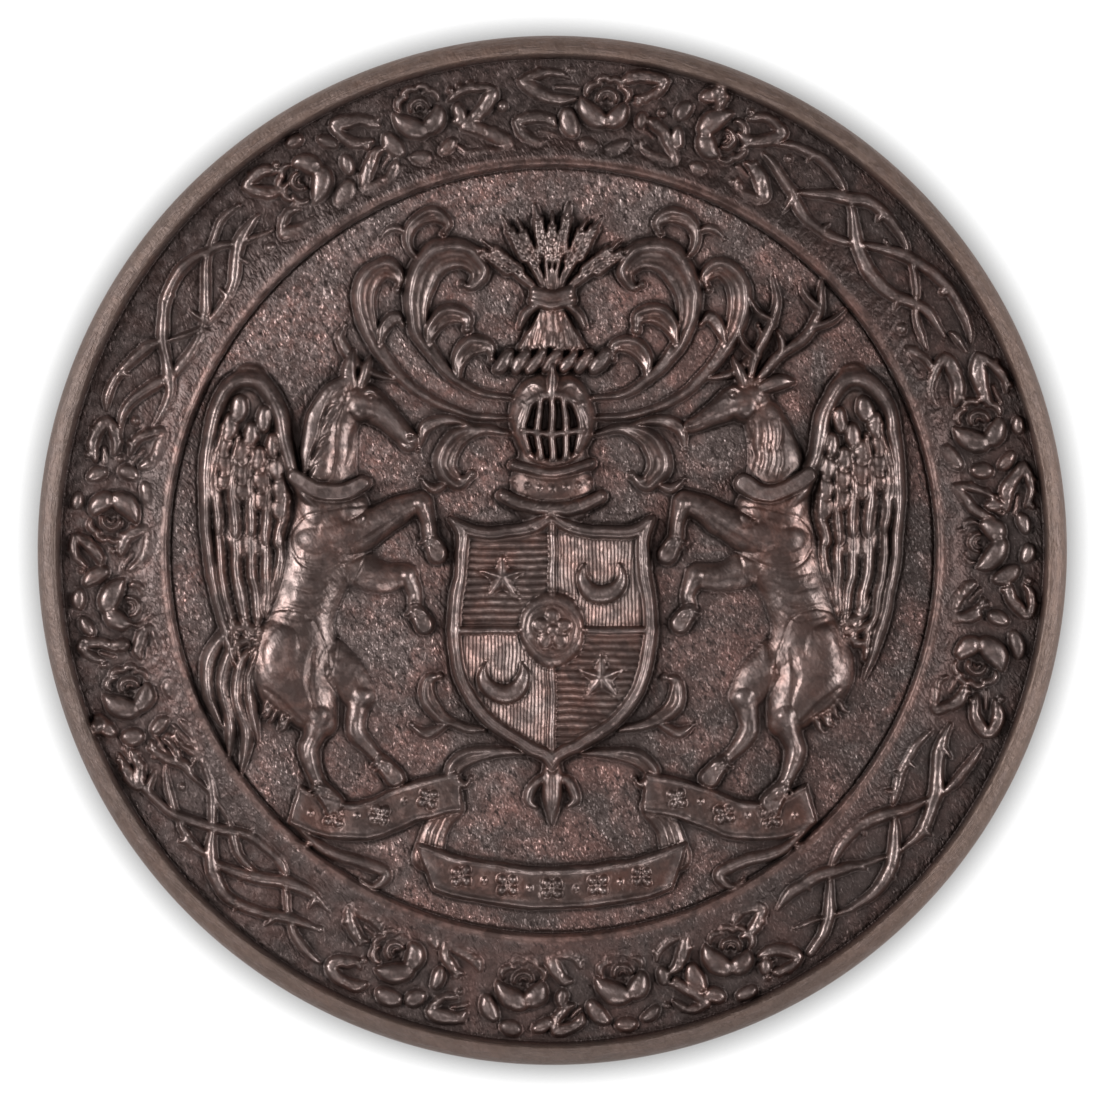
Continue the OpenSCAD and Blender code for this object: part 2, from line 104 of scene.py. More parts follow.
# bearing, radius and half width along the stems of the briars
STEMS = [
    [(28.2, 24.85, 0.1), (30, 24.6, 0.21), (33, 24.0, 0.26), (35.5, 23.4, 0.27), (38, 23.05, 0.27),
        (41, 23.2, 0.24), (43.5, 23.55, 0.17), (45, 24.0, 0.1)],
    [(45, 24.0, 0.1), (46.2, 24.3, 0.16), (48, 24.9, 0.24), (50.5, 25.47, 0.28), (54, 26.08, 0.26),
        (58, 26.3, 0.25), (61.5, 26.2, 0.2), (63.6, 25.9, 0.08)],
    [(28.8, 25.6, 0.08), (31, 26.05, 0.18), (33.5, 26.25, 0.21), (36, 26.15, 0.2), (38.5, 25.77, 0.15),
        (40, 25.5, 0.1)],
    [(40, 25.5, 0.1), (41.2, 25.15, 0.18), (43, 24.5, 0.24), (45, 23.88, 0.28), (48, 23.43, 0.33),
        (51, 23.35, 0.33), (53.5, 23.58, 0.28), (56, 24.28, 0.26), (58, 24.65, 0.24), (61.3, 24.7, 0.08)],
    [(34.4, 24.0, 0.1), (36.5, 24.5, 0.2), (38.5, 25.1, 0.28), (40.5, 25.6, 0.3), (43, 26.1, 0.24),
        (46, 26.17, 0.22), (48.6, 25.95, 0.17), (50.3, 25.6, 0.1)],
    [(50.9, 25.5, 0.08), (52.5, 25.2, 0.15), (54.3, 24.8, 0.15), (55.6, 24.4, 0.09)],
    [(56, 24.25, 0.08), (57.5, 23.9, 0.14), (59.5, 23.65, 0.16), (61.8, 23.48, 0.06)],
    [(61.1, 25.1, 0.06), (62.3, 25.3, 0.16), (64.6, 25.45, 0.06)],
    [(114.6, 26.15, 0.1), (117, 26.04, 0.2), (119.5, 25.75, 0.21), (121.7, 25.4, 0.14), (123, 25.15, 0.1)],
    [(123, 25.1, 0.1), (124.2, 24.8, 0.18), (126, 24.3, 0.24), (128, 23.65, 0.29), (130.5, 23.05, 0.3),
        (133, 22.76, 0.28), (136, 22.9, 0.22), (138, 23.25, 0.15), (139.3, 23.6, 0.1)],
    [(139.5, 23.75, 0.1), (141.2, 24.5, 0.2), (143, 25.4, 0.26), (145, 26.05, 0.24), (147.3, 26.45, 0.2)],
    [(113.6, 24.08, 0.1), (116, 24.02, 0.23), (118, 24.2, 0.27), (120, 24.62, 0.28), (122.3, 25.08, 0.3),
        (124.8, 25.45, 0.26), (127, 25.7, 0.27), (129, 25.6, 0.16), (131.4, 25.4, 0.1)],
    [(131.9, 25.15, 0.08), (133.5, 24.82, 0.13), (135.3, 24.45, 0.16), (137, 24.0, 0.24),
        (139, 23.65, 0.28), (141, 23.25, 0.29), (144, 23.1, 0.29), (146, 23.22, 0.22),
        (147.9, 23.45, 0.08)],
    [(115.2, 23.2, 0.08), (117, 22.92, 0.2), (119, 22.8, 0.24), (122, 22.86, 0.2), (124.5, 23.12, 0.2),
        (126.6, 23.5, 0.1)],
    [(127.6, 23.95, 0.09), (129, 24.45, 0.2), (131, 25.1, 0.29), (133, 25.62, 0.3), (135.5, 25.9, 0.26),
        (138, 25.95, 0.22), (140, 25.82, 0.16), (142.2, 25.5, 0.09)],
    [(143.5, 25.3, 0.06), (145, 25.05, 0.1), (147.5, 24.9, 0.06)],
    [(209.5, 26.2, 0.08), (211.5, 26.08, 0.2), (213.3, 25.7, 0.2), (215, 25.2, 0.14),
        (216.2, 24.75, 0.12), (217.6, 24.1, 0.14), (218.8, 23.7, 0.08)],
    [(219, 23.45, 0.08), (220, 23.15, 0.18), (221.7, 22.86, 0.22), (224, 22.82, 0.23),
        (226.5, 22.99, 0.25), (228.2, 23.35, 0.22), (229.7, 23.85, 0.25), (231.3, 24.35, 0.23),
        (233, 24.95, 0.24), (234.8, 25.45, 0.23), (237, 25.84, 0.19), (239.3, 26.08, 0.2),
        (241.2, 26.3, 0.26), (244.8, 26.48, 0.08)],
    [(211, 24.65, 0.06), (213, 24.76, 0.17), (215, 24.94, 0.22), (216.7, 25.24, 0.26),
        (218.7, 25.7, 0.24), (221, 26.1, 0.25), (223.5, 26.24, 0.27), (226, 25.92, 0.29),
        (228, 25.38, 0.29), (229.6, 24.78, 0.22), (231.2, 24.1, 0.17), (233, 23.45, 0.23),
        (235, 22.99, 0.23), (237.5, 22.66, 0.22), (240, 22.55, 0.24), (242.5, 22.72, 0.22),
        (245.4, 23.12, 0.07)],
    [(211.6, 23.5, 0.06), (213, 23.35, 0.16), (214.8, 23.2, 0.25), (217, 23.3, 0.28), (219, 23.62, 0.29),
        (221, 24.15, 0.3), (223, 24.62, 0.28), (225, 25.1, 0.24), (227, 25.38, 0.17), (229, 25.52, 0.15),
        (231, 25.72, 0.22), (233, 25.64, 0.18), (234.3, 25.42, 0.12), (236.5, 25.22, 0.17),
        (238.5, 24.95, 0.15), (241.2, 24.45, 0.05)],
    [(222.6, 24.2, 0.06), (224, 24.24, 0.16), (225.8, 24.15, 0.19), (227.7, 23.78, 0.2),
        (229.2, 23.42, 0.13), (230.5, 23.22, 0.11), (232.2, 23.15, 0.13), (234, 23.15, 0.12),
        (236, 23.3, 0.13), (238, 23.58, 0.13), (239.5, 23.55, 0.22), (241, 23.85, 0.24),
        (243.8, 24.27, 0.06)],
    [(285, 24.78, 0.07), (287.5, 24.9, 0.19), (289.5, 24.7, 0.23), (292, 24.05, 0.25),
        (294.3, 23.28, 0.22), (296.5, 22.95, 0.28), (299, 22.8, 0.26), (302, 22.9, 0.22),
        (304.5, 23.3, 0.24), (306.5, 23.9, 0.23), (308.5, 24.54, 0.22), (310.5, 25.1, 0.16),
        (312.5, 25.44, 0.15), (315, 25.88, 0.17), (317.8, 25.77, 0.09)],
    [(287.3, 23.08, 0.08), (290, 22.86, 0.2), (292.5, 22.92, 0.25), (294.5, 23.3, 0.27),
        (296.5, 23.85, 0.22), (298.5, 24.5, 0.26), (301, 25.1, 0.26), (303.5, 25.58, 0.23),
        (306.5, 25.8, 0.25), (309, 25.64, 0.23), (311, 25.25, 0.2), (312.5, 24.98, 0.17),
        (314, 24.45, 0.13), (316, 23.98, 0.13), (319.2, 23.6, 0.05)],
    [(287.4, 25.85, 0.07), (289, 26.04, 0.2), (291.5, 26.0, 0.21), (294, 25.58, 0.24),
        (296.5, 25.12, 0.26), (298, 24.6, 0.12)],
    [(298.6, 24.25, 0.06), (299.8, 23.8, 0.13), (301.3, 23.3, 0.13), (302.6, 23.0, 0.1)],
    [(302.6, 23.05, 0.1), (304.2, 22.82, 0.2), (306, 22.72, 0.22), (309, 22.9, 0.25), (311, 23.3, 0.27),
        (313.5, 24.0, 0.27), (315.5, 24.45, 0.25), (318.8, 24.67, 0.06)]]
# bearing and radius of a thorn's root and of its tip, and the half width of its root
THORNS = [
    (33.3, 26.2, 33.4, 25.75, 0.17), (34.2, 23.7, 34.3, 22.6, 0.24), (40.1, 23.2, 40.1, 23.75, 0.18),
    (44.4, 26.1, 44.7, 25.55, 0.2), (54.0, 23.6, 55.0, 23.05, 0.2), (48.2, 25.0, 46.9, 25.3, 0.14),
    (116.6, 24.1, 117.5, 24.85, 0.18), (120.8, 22.9, 121.0, 23.5, 0.17), (123, 22.85, 123.1, 22.45, 0.15),
    (125.2, 23.15, 126.2, 22.5, 0.17), (126.9, 25.75, 126.9, 26.3, 0.22),
    (136.1, 24.25, 135.3, 24.8, 0.17), (142.8, 23.2, 142.9, 23.65, 0.17),
    (133.3, 25.7, 133.9, 26.2, 0.14), (217.0, 25.4, 217.4, 26.15, 0.19), (214.2, 23.3, 214.2, 24.0, 0.2),
    (231.4, 25.7, 232.0, 26.25, 0.22), (226.7, 23.0, 227.3, 22.5, 0.2), (223.0, 24.6, 223.5, 25.2, 0.14),
    (239.5, 26.0, 241.0, 25.2, 0.22), (239.9, 22.7, 239.0, 23.4, 0.2), (221.5, 26.15, 221.2, 26.6, 0.14),
    (292.3, 25.85, 292.6, 25.25, 0.17), (303.4, 23.1, 303.6, 24.05, 0.22), (308, 22.9, 308.2, 23.5, 0.19),
    (313.0, 23.8, 313.5, 23.15, 0.2), (302.2, 22.85, 302.5, 22.35, 0.16),
    (297.0, 25.0, 296.6, 25.45, 0.16), (303.2, 25.5, 303.9, 25.3, 0.16)]
# bearing, radius, length along the border and width of a lump where the casting bridged the rim
LUMPS = [(20, 26.95, 0.42, 0.62), (20.6, 26.4, 0.3, 0.5), (248.8, 27.1, 0.46, 0.62)]

# Supporters, both drawn as the left one, which faces right: x, y and half width along each part
TRUNK = [
    (-14.3, -5.6, 2.3), (-13.9, -3.7, 1.85), (-13.2, -1.6, 1.95), (-12.5, 0.3, 2.2), (-12.2, 1.8, 2.2)]
NECK = [(-12.3, 1.4, 2.1), (-12.45, 3.4, 1.8), (-12.3, 5.2, 1.45), (-11.8, 7.0, 1.15), (-11.1, 8.3, 0.9)]
THIGH = [(-14.6, -5.0, 1.7), (-14.5, -6.8, 2.15), (-13.5, -8.4, 1.5), (-12.85, -9.5, 0.9)]
SHANK = [
    (-12.9, -9.2, 0.85), (-13.25, -10.4, 0.62), (-13.45, -11.1, 0.6), (-13.15, -12.2, 0.4),
    (-12.9, -12.9, 0.42)]
HIND_HOOF = [(-12.8, -13.1, 0.44), (-12.1, -14.0, 0.62)]
FAR_THIGH = [(-12.7, -6.2, 1.6), (-11.4, -7.1, 1.25), (-10.6, -8.2, 0.85)]
FAR_SHANK = [
    (-10.6, -8.1, 0.78), (-10.9, -9.5, 0.58), (-10.8, -10.2, 0.56), (-9.9, -11.2, 0.38),
    (-9.5, -11.6, 0.4)]
FAR_HIND_HOOF = [(-9.4, -11.7, 0.4), (-8.7, -12.6, 0.56)]
FOREARM = [(-12.9, 0.5, 1.45), (-11.4, 0.9, 1.4), (-9.8, 1.5, 0.95), (-8.3, 2.3, 0.7), (-7.3, 2.65, 0.64)]
CANNON = [(-7.25, 2.55, 0.6), (-6.9, 1.6, 0.4), (-6.8, 0.8, 0.4)]
FORE_HOOF = [(-6.75, 0.6, 0.4), (-6.35, -0.2, 0.56)]
FAR_FOREARM = [(-11.4, -0.6, 1.2), (-9.6, -1.45, 0.9), (-8.0, -1.35, 0.68)]
FAR_CANNON = [(-7.95, -1.4, 0.6), (-7.55, -2.4, 0.4), (-7.6, -3.1, 0.4)]
FAR_FORE_HOOF = [(-7.55, -3.3, 0.4), (-7.1, -4.1, 0.54)]
HORSE_HEAD = [
    (-11.1, 8.5, 1.05), (-10.1, 8.1, 0.98), (-9.2, 7.35, 0.72), (-8.4, 6.55, 0.58), (-7.95, 6.1, 0.58)]
STAG_HEAD = [
    (-11.1, 8.5, 1.02), (-10.1, 8.2, 0.9), (-9.1, 7.6, 0.62), (-8.2, 7.1, 0.46), (-7.7, 6.85, 0.42)]
FAR_EAR = [(-10.6, 9.1, 0.3), (-10.4, 9.8, 0.34), (-10.0, 10.7, 0.05)]
HORSE_EAR = [(-11.2, 9.0, 0.4), (-11.25, 9.9, 0.44), (-10.95, 11.1, 0.06)]
STAG_EAR = [(-11.6, 9.0, 0.34), (-12.4, 9.3, 0.42), (-13.4, 9.3, 0.06)]
MANE = [(-11.6, 9.2, 0.4), (-12.2, 8.4, 0.72), (-12.8, 7.0, 0.86), (-13.0, 5.2, 0.86), (-12.9, 4.4, 0.7)]
WING_ARM = [
    (-12.9, 2.2, 0.42), (-14.0, 3.6, 0.5), (-14.7, 5.6, 0.5), (-15.2, 7.8, 0.52), (-16.2, 9.3, 0.56),
    (-17.5, 9.3, 0.52), (-18.5, 8.0, 0.46), (-18.95, 6.0, 0.42), (-19.15, 3.8, 0.38), (-19.1, 1.0, 0.34),
    (-18.7, -2.0, 0.3), (-17.9, -5.2, 0.26), (-17.2, -7.2, 0.06)]
WING_BASE = [(-16.7, 9.3, 1.1), (-16.75, 7.6, 1.9), (-16.8, 5.0, 2.2), (-16.8, 2.6, 2.1), (-16.8, 1.0, 1.6)]
# root and tip of the outermost feather of a row, root and tip of its innermost, number, half width, lift
WING_ROWS = [
    ((-18.5, 3.6), (-17.3, -6.0), (-15.0, 1.4), (-15.6, -3.0), 5, 0.5, 0.0),
    ((-18.2, 7.0), (-18.4, 0.9), (-14.9, 4.4), (-15.3, 0.2), 5, 0.46, 0.18)]
# top of the outermost small covert of a row, top of its innermost, and their number
COVERT_ROWS = [
    ((-18.1, 4.3), (-15.1, 2.8), 4), ((-18.05, 5.3), (-15.1, 3.9), 4), ((-18.0, 6.3), (-15.2, 5.0), 4),
    ((-17.8, 7.3), (-15.4, 6.2), 3), ((-17.3, 8.2), (-15.9, 7.6), 2)]
ANTLERS = [
    [(-11.3, 9.3, 0.3), (-12.4, 10.6, 0.28), (-13.9, 11.8, 0.27), (-14.8, 13.3, 0.24), (-14.9, 15.0, 0.08)],
    [(-10.9, 9.4, 0.26), (-11.3, 10.8, 0.25), (-12.0, 12.2, 0.24), (-12.4, 13.6, 0.2), (-12.2, 15.1, 0.06)],
    [(-12.7, 10.8, 0.2), (-12.7, 11.6, 0.16), (-12.4, 12.2, 0.06)],
    [(-14.4, 12.4, 0.22), (-15.4, 12.7, 0.18), (-16.2, 13.4, 0.06)],
    [(-14.8, 13.4, 0.2), (-14.0, 14.2, 0.15), (-13.8, 14.9, 0.06)],
    [(-11.4, 10.7, 0.2), (-10.6, 11.4, 0.16), (-10.3, 12.2, 0.06)],
    [(-12.2, 12.8, 0.18), (-11.3, 13.3, 0.15), (-10.9, 14.1, 0.06)]]
HORSE_TAIL = [
    [(-16.0, -4.4, 0.4), (-17.6, -4.3, 0.5), (-18.9, -5.9, 0.52), (-18.9, -8.2, 0.42), (-18.2, -9.8, 0.1)],
    [(-16.1, -4.8, 0.42), (-17.5, -5.2, 0.5), (-18.2, -7.2, 0.5), (-17.8, -9.4, 0.42),
        (-17.9, -11.4, 0.08)],
    [(-16.2, -5.2, 0.4), (-17.2, -6.2, 0.44), (-17.4, -8.2, 0.46), (-16.9, -10.2, 0.4),
        (-17.2, -12.4, 0.08)],
    [(-16.3, -5.6, 0.34), (-16.8, -7.2, 0.36), (-16.6, -9.0, 0.36), (-16.3, -10.6, 0.08)]]
STAG_TAIL = [
    [(-16.2, -4.0, 0.5), (-17.1, -3.5, 0.46), (-17.7, -2.4, 0.08)],
    [(-16.3, -4.4, 0.46), (-17.3, -4.2, 0.4), (-18.2, -3.4, 0.08)],
    [(-16.3, -4.8, 0.4), (-17.1, -5.1, 0.34), (-17.9, -4.9, 0.08)]]
COLLAR = [(-14.2, 4.1, 0.42), (-12.9, 3.3, 0.46), (-11.6, 3.2, 0.46), (-10.5, 3.7, 0.42)]

# x and y down the right-hand side of the shield, from the point at the top to the point at the foot
SHIELD_SIDE = [
    (0, 2.3), (0.9, 1.75), (2.2, 1.4), (4.2, 1.35), (5.7, 1.9), (5.35, 0.6), (5.45, -1.2), (5.75, -3.2),
    (5.75, -5.4), (5.2, -7.6), (3.9, -9.5), (1.9, -10.9), (0.6, -11.6), (0, -12.3)]
SHIELD_MIDDLE = -4.4

# rise, and x, y and half width along the right-hand scrolls of the mantling
SCROLLS = [
    (0.66, [(2.2, 7.3, 0.14), (4.6, 7.5, 0.2), (7.2, 8.6, 0.26), (9.2, 10.6, 0.36), (10.3, 12.8, 0.56),
        (10.3, 14.7, 0.72), (9.3, 15.7, 0.6), (8.4, 15.1, 0.34), (8.6, 14.4, 0.1)]),
    (0.5, [(8.4, 9.5, 0.08), (9.7, 9.7, 0.22), (11.0, 10.5, 0.34), (11.7, 11.7, 0.26), (11.4, 12.5, 0.06)]),
    (0.5, [(9.6, 11.2, 0.08), (9.3, 12.3, 0.34), (8.7, 12.9, 0.34), (8.2, 12.5, 0.08)]),
    (0.86, [(2.2, 8.4, 0.16), (4.2, 8.8, 0.24), (6.0, 10.1, 0.32), (7.3, 12.1, 0.5), (7.5, 14.3, 0.82),
        (6.5, 16.1, 1.0), (5.0, 16.4, 0.86), (4.0, 15.5, 0.52), (4.4, 14.6, 0.28), (5.0, 14.7, 0.1)]),
    (0.68, [(6.9, 11.2, 0.1), (6.6, 12.3, 0.44), (5.8, 13.1, 0.6), (4.8, 12.9, 0.4), (4.7, 12.2, 0.14)]),
    (0.62, [(5.2, 9.4, 0.1), (5.2, 10.5, 0.4), (4.5, 11.4, 0.54), (3.5, 11.3, 0.36), (3.3, 10.6, 0.12)]),
    (0.6, [(7.0, 15.7, 0.1), (7.9, 16.8, 0.22), (7.7, 18.0, 0.36), (6.6, 18.6, 0.46), (5.8, 18.1, 0.26),
        (6.0, 17.5, 0.08)]),
    (0.42, [(7.8, 17.6, 0.06), (8.8, 17.8, 0.24), (9.5, 17.2, 0.05)]),
    (0.7, [(2.3, 6.4, 0.14), (3.9, 6.7, 0.3), (5.4, 6.1, 0.56), (6.0, 4.7, 0.64), (5.2, 3.7, 0.42),
        (4.4, 4.2, 0.12)]),
    (0.52, [(4.1, 6.8, 0.08), (5.7, 7.2, 0.28), (7.0, 6.8, 0.38), (7.4, 5.6, 0.06)]),
    (0.46, [(5.6, 3.8, 0.08), (6.6, 3.4, 0.28), (7.3, 4.0, 0.06)]),
    (0.6, [(1.5, -11.2, 0.14), (3.2, -11.2, 0.34), (4.8, -11.5, 0.5), (5.6, -12.4, 0.4),
        (4.9, -13.0, 0.2), (4.5, -12.6, 0.06)]),
    (0.56, [(3.7, -9.9, 0.16), (5.4, -9.6, 0.32), (6.7, -8.6, 0.48), (6.9, -7.3, 0.36), (6.2, -7.0, 0.1)]),
    (0.46, [(5.6, -9.5, 0.1), (6.9, -10.1, 0.3), (7.8, -9.6, 0.06)])]

# x, y and half width along the right-hand ribbon, the front ribbon, the fold between them and the tail
RIBBON_SIDE = [
    (5.2, -13.4, 1.1), (7.6, -13.9, 1.1), (10.2, -14.9, 1.1), (12.6, -14.8, 1.1), (14.4, -14.0, 1.1)]
RIBBON_FRONT = [
    (-7.4, -17.3, 1.15), (-4.6, -18.2, 1.15), (0, -18.7, 1.15), (4.6, -18.2, 1.15), (7.4, -17.3, 1.15)]
RIBBON_FOLD = [(5.6, -14.2, 0.75), (6.4, -15.3, 0.7), (6.9, -16.9, 0.9)]
RIBBON_TAILS = [
    [(14.2, -15.2, 0.2), (12.6, -16.6, 0.3), (10.6, -17.2, 0.34), (9.2, -17.9, 0.3), (9.9, -18.6, 0.18),
        (10.6, -18.2, 0.1)],
    [(13.4, -16.3, 0.12), (14.4, -16.2, 0.22), (15.0, -15.5, 0.08)]]
# the right-hand leaf of the drop under the shield
DROP_LEAF = [(0, -12.4, 0.2), (0.9, -12.9, 0.3), (1.3, -13.8, 0.26), (0.9, -14.2, 0.12)]

# Heights in millimetres from the back, and the radius of its rounded edge
FIELD = 3.2
WALL = (2.5, 1.9, 1.3, 0.8)
BACK_ROUND = 0.5
BACK_HOLLOW = 0.02

# Casting: height, cell size in millimetres and seed of each noise
WANDER_X = [(0.04, 1.1, 1), (0.01, 0.42, 2)]
WANDER_Y = [(0.04, 1.1, 3), (0.01, 0.42, 4)]
FIELD_GRAIN = [(0.012, 0.34, 5), (0.0105, 0.17, 6)]
BROAD_SWELL = [(0.012, 1.6, 8)]
FORM_GRAIN = [(0.005, 0.42, 9)]
# softening of the floor and of the forms on it
FLOOR_SOFT = 0.03
FORM_SOFT = 0.045
# height above which forms are eased down, the most that is left above it, and how fast they ease
TALL = 0.8
TALL_MORE = 0.42
TALL_EASE = 0.45
# blur that stands for the surface itself, and the blur and height difference that make each fact full
SURFACE = 0.1
CURVES = {"hollow": (0.26, 0.09), "deep": (0.9, 0.3), "crest": (0.34, -0.1)}

# Meshes: points across the centre and a quarter of the border, rows of the border, where they meet,
# points across the back, and steps of a rounded edge
ACROSS = 520
BORDER_ROWS = 80
FACE_R = 21.2
SHOULDER_R = 28.4
BACK_ACROSS = ACROSS // 8
ROUND_STEPS = 6

# Colours, linear
GREY_BROWN = (0.1, 0.068, 0.061, 1)
RED_BROWN = (0.2, 0.095, 0.078, 1)
# paler brown of painted light at the upper left of the face
PALE_BROWN = (0.22, 0.158, 0.147, 1)
RIM_BROWN = (0.104, 0.06, 0.04, 1)
FORM_BROWN = (0.086, 0.034, 0.0225, 1)
COOL_BROWN = (0.068, 0.036, 0.028, 1)
# pale of rubbed wear on the rim and the crests, with a painted highlight on the crests
RUBBED_AND_SHEEN = (0.155, 0.112, 0.103, 1)
# black of dirt in the grain, and painted shade beside the forms, over the trough, to the lower right and on
# the rim
SOOT_AND_SHADE = (0.017, 0.01, 0.0085, 1)
METALLIC = 0.62
REFRACTION = 1.62
GLOSS = (1, 0.97, 0.965, 1)
# zones that the finish follows, as they are named on the meshes
ZONES = ("hollow", "deep", "crest", "plain", "rim", "near", "sunk", "raised", "ring")
# scale, detail, roughness and distortion of each noise
NOISES = {
    "patches": (300, 3.0, 0.6, 0.5),
    "mottle": (1900, 3.0, 0.6, 0.0),
    "strokes": (2800, 2.0, 0.7, 0.0),
    "polish": (5200, 2.0, 0.6, 0.0),
    "clouds": (800, 3.0, 0.65, 0.0),
    "grain": (5400, 1.0, 0.5, 0.3),
    "swell": (1500, 1.0, 0.5, 0.0),
}
# direction in degrees, and stretch, of the short strokes in the cast surface
STROKE_TURN = -60
STROKE_STRETCH = (1.6, 0.85, 1)
# how slowly the polish marks change along the rim, and the height of the grain in metres
POLISH_SLOW = 0.15
GRAIN_HIGH = 0.00012
# glow of the floor, and the width of its shade in millimetres
FLOOR_GLOW = 1.12
FLOOR_SHADE = 2.2
FLOOR_GREY = (0.12, 0.12, 0.12, 1)
WHITE = (1, 1, 1, 1)

# name, x, y, z, width and height of each soft light in millimetres, and its power in watts
PANELS = [
    ("left", -330, 60, 230, 190, 220, 2.72), ("right", 330, 0, 210, 190, 190, 1.85),
    ("bottom", 0, -340, 200, 200, 160, 0.7), ("above", -85, 10, 620, 250, 120, 0.42)]
AMBIENT = 0.018

# The camera in millimetres, and the width of the picture at the level of the field
CAMERA_HIGH = 500
CAMERA_X = 0.039
CAMERA_Y = 0.017
SENSOR = 36
PICTURE_WIDE = 61.2


class Relief:
    """Heights over a square grid round the medal's axis, and the floor that its forms stand on."""

    def __init__(self, level=0.0):
        self.axis = np.linspace(-HALF, HALF, COUNT)
        self.z = np.full((COUNT, COUNT), float(level))
        self.floor = self.z

    def window(self, low_x, high_x, low_y, high_y):
        first = [max(0, int((v + HALF) / PITCH)) for v in (low_y, low_x)]
        last = [min(COUNT, int((v + HALF) / PITCH) + 2) for v in (high_y, high_x)]
        return slice(first[0], last[0]), slice(first[1], last[1])

    def around(self, points, pad):
        (low_x, low_y), (high_x, high_y) = points[:, :2].min(0) - pad, points[:, :2].max(0) + pad
        return self.window(low_x, high_x, low_y, high_y)

    def grid(self, box):
        return self.axis[None, box[1]], self.axis[box[0], None]

    def radius(self):
        return np.hypot(self.axis[None, :], self.axis[:, None])

    def free(self, box=...):
        """Where no hole has been cut below the floor."""
        return self.z[box] > self.floor[box] + MOAT_FROM

    def groove(self, box, gap, depth, wide=MOAT_WIDE):
        """The groove round a form, from the distance to its edge."""
        return depth * np.exp(-((gap / wide) ** 2)) * self.free(box)


class Pen:
    """Lays forms on a relief as they were drawn, or mirrored left to right where the sign is -1."""

    def __init__(self, relief, sign):
        self.relief, self.sign = relief, sign

    def model(self, rows, *shape, **more):
        model(self.relief, flipped(rows, self.sign), *shape, **more)

    def mark(self, rows, depth):
        mark(self.relief, flipped(rows, self.sign), depth)

    def boss(self, x, y, half_x, half_y, turn, *shape, **more):
        boss(self.relief, self.sign * x, y, half_x, half_y, self.sign * turn, *shape, **more)


def spline(rows):
    """A smooth curve through rows of x, y and half width, as closely spaced rows."""
    p = np.array(rows, float)
    p = np.vstack([2 * p[0] - p[1], p, 2 * p[-1] - p[-2]])
    parts = []
    for a, b, c, d in zip(p, p[1:], p[2:], p[3:]):
        count = max(1, math.ceil(math.dist(b[:2], c[:2]) / STEP))
        t = (np.arange(count) / count)[:, None]
        square, cube = 2 * a - 5 * b + 4 * c - d, 3 * b - a - 3 * c + d
        parts.append(0.5 * (2 * b + (c - a) * t + square * t**2 + cube * t**3))
    curve = np.vstack([*parts, p[-2:-1]])
    curve[:, 2] = np.maximum(curve[:, 2], THINNEST)
    return curve


def walk(relief, rows, reach):
    """Places near a path: along it from 0 to 1, across it as a signed share of its half width, and that."""
    q = spline(rows)
    box = relief.around(q, q[:, 2].max() + reach + PITCH)
    shape = (box[0].stop - box[0].start, box[1].stop - box[1].start)
    across, along, half = np.full(shape, FAR), np.zeros(shape), np.full(shape, 0.1)
    steps = np.hypot(*(q[1:, :2] - q[:-1, :2]).T)
    total, done = max(steps.sum(), 1e-9), 0.0
    for a, b, length in zip(q[:-1], q[1:], steps):
        near = relief.around(np.array([a, b]), max(a[2], b[2]) + reach)
        part = tuple(slice(n.start - w.start, n.stop - w.start) for n, w in zip(near, box))
        x, y = relief.grid(near)
        dx, dy = b[0] - a[0], b[1] - a[1]
        t = np.clip(((x - a[0]) * dx + (y - a[1]) * dy) / max(length * length, 1e-12), 0, 1)
        off_x, off_y = x - a[0] - t * dx, y - a[1] - t * dy
        width = a[2] + t * (b[2] - a[2])
        share = np.hypot(off_x, off_y) / width
        signed = np.where(off_y * dx - off_x * dy < 0, -share, share)
        closer = share < np.abs(across[part])
        across[part] = np.where(closer, signed, across[part])
        along[part] = np.where(closer, (done + t * length) / total, along[part])
        half[part] = np.where(closer, width, half[part])
        done += length
    return box, along, across, half, q[:, 2].max(), total


def dome(across, along, half):
    """Steep at its foot, gently rounded on top."""
    v = np.abs(across)
    return 1 - 0.55 * v**2 - 0.45 * v**8 - 2 * np.clip(v - 1, 0, None)


def rounded(across, along, half):
    """A full round body, highest along its middle."""
    v = np.abs(across)
    return 1 - 0.86 * v**2 - 0.14 * v**8 - 2 * np.clip(v - 1, 0, None)


def keel(across, along, half):
    """Falls away from a sharp middle line."""
    v = np.abs(across)
    return np.where(v < 1, 1 - v * (0.5 + 0.5 * v), 1 - v)


def plate(across, along, half):
    """Flat on top with short rounded sides."""
    v = np.abs(across)
    return 1 - np.clip((v - 0.7) / 0.3, 0, 1) ** 2 - 3 * np.clip(v - 1, 0, None)


def fleshy(across, along, half):
    """A soft form with a broad top and steep sides."""
    v = np.abs(across)
    return 1 - 0.38 * v**2 - 0.62 * v**7 - 2 * np.clip(v - 1, 0, None)


def swept(across, along, half):
    """A leafy scroll: its crest near the outer edge, then a hollow, and a low inner lip."""
    v = np.clip(across, -1, 1)
    broad = np.clip((half - 0.26) / 0.2, 0, 1)
    crown = 0.62 * np.exp(-(((v + 0.42) / 0.36) ** 2)) + 0.22 * np.exp(-(((v - 0.78) / 0.2) ** 2))
    wide = (0.38 + crown) * (1 - np.abs(v) ** 7)
    return (1 - 0.7 * v**2 - 0.3 * v**8) * (1 - broad) + wide * broad


def swept_back(across, along, half):
    """The same scroll for a path that bends the other way."""
    return swept(-across, along, half)


def turns_left(rows):
    """Whether a path of x and y bends to the left on the whole."""
    bend = 0.0
    for a, b, c in zip(rows, rows[1:], rows[2:]):
        bend += (b[0] - a[0]) * (c[1] - b[1]) - (b[1] - a[1]) * (c[0] - b[0])
    return bend > 0


def smooth_max(a, b, width):
    """The higher of two surfaces, with a soft join."""
    share = np.clip(0.5 + 0.5 * (b - a) / width, 0, 1)
    return a + (b - a) * share + width * share * (1 - share)


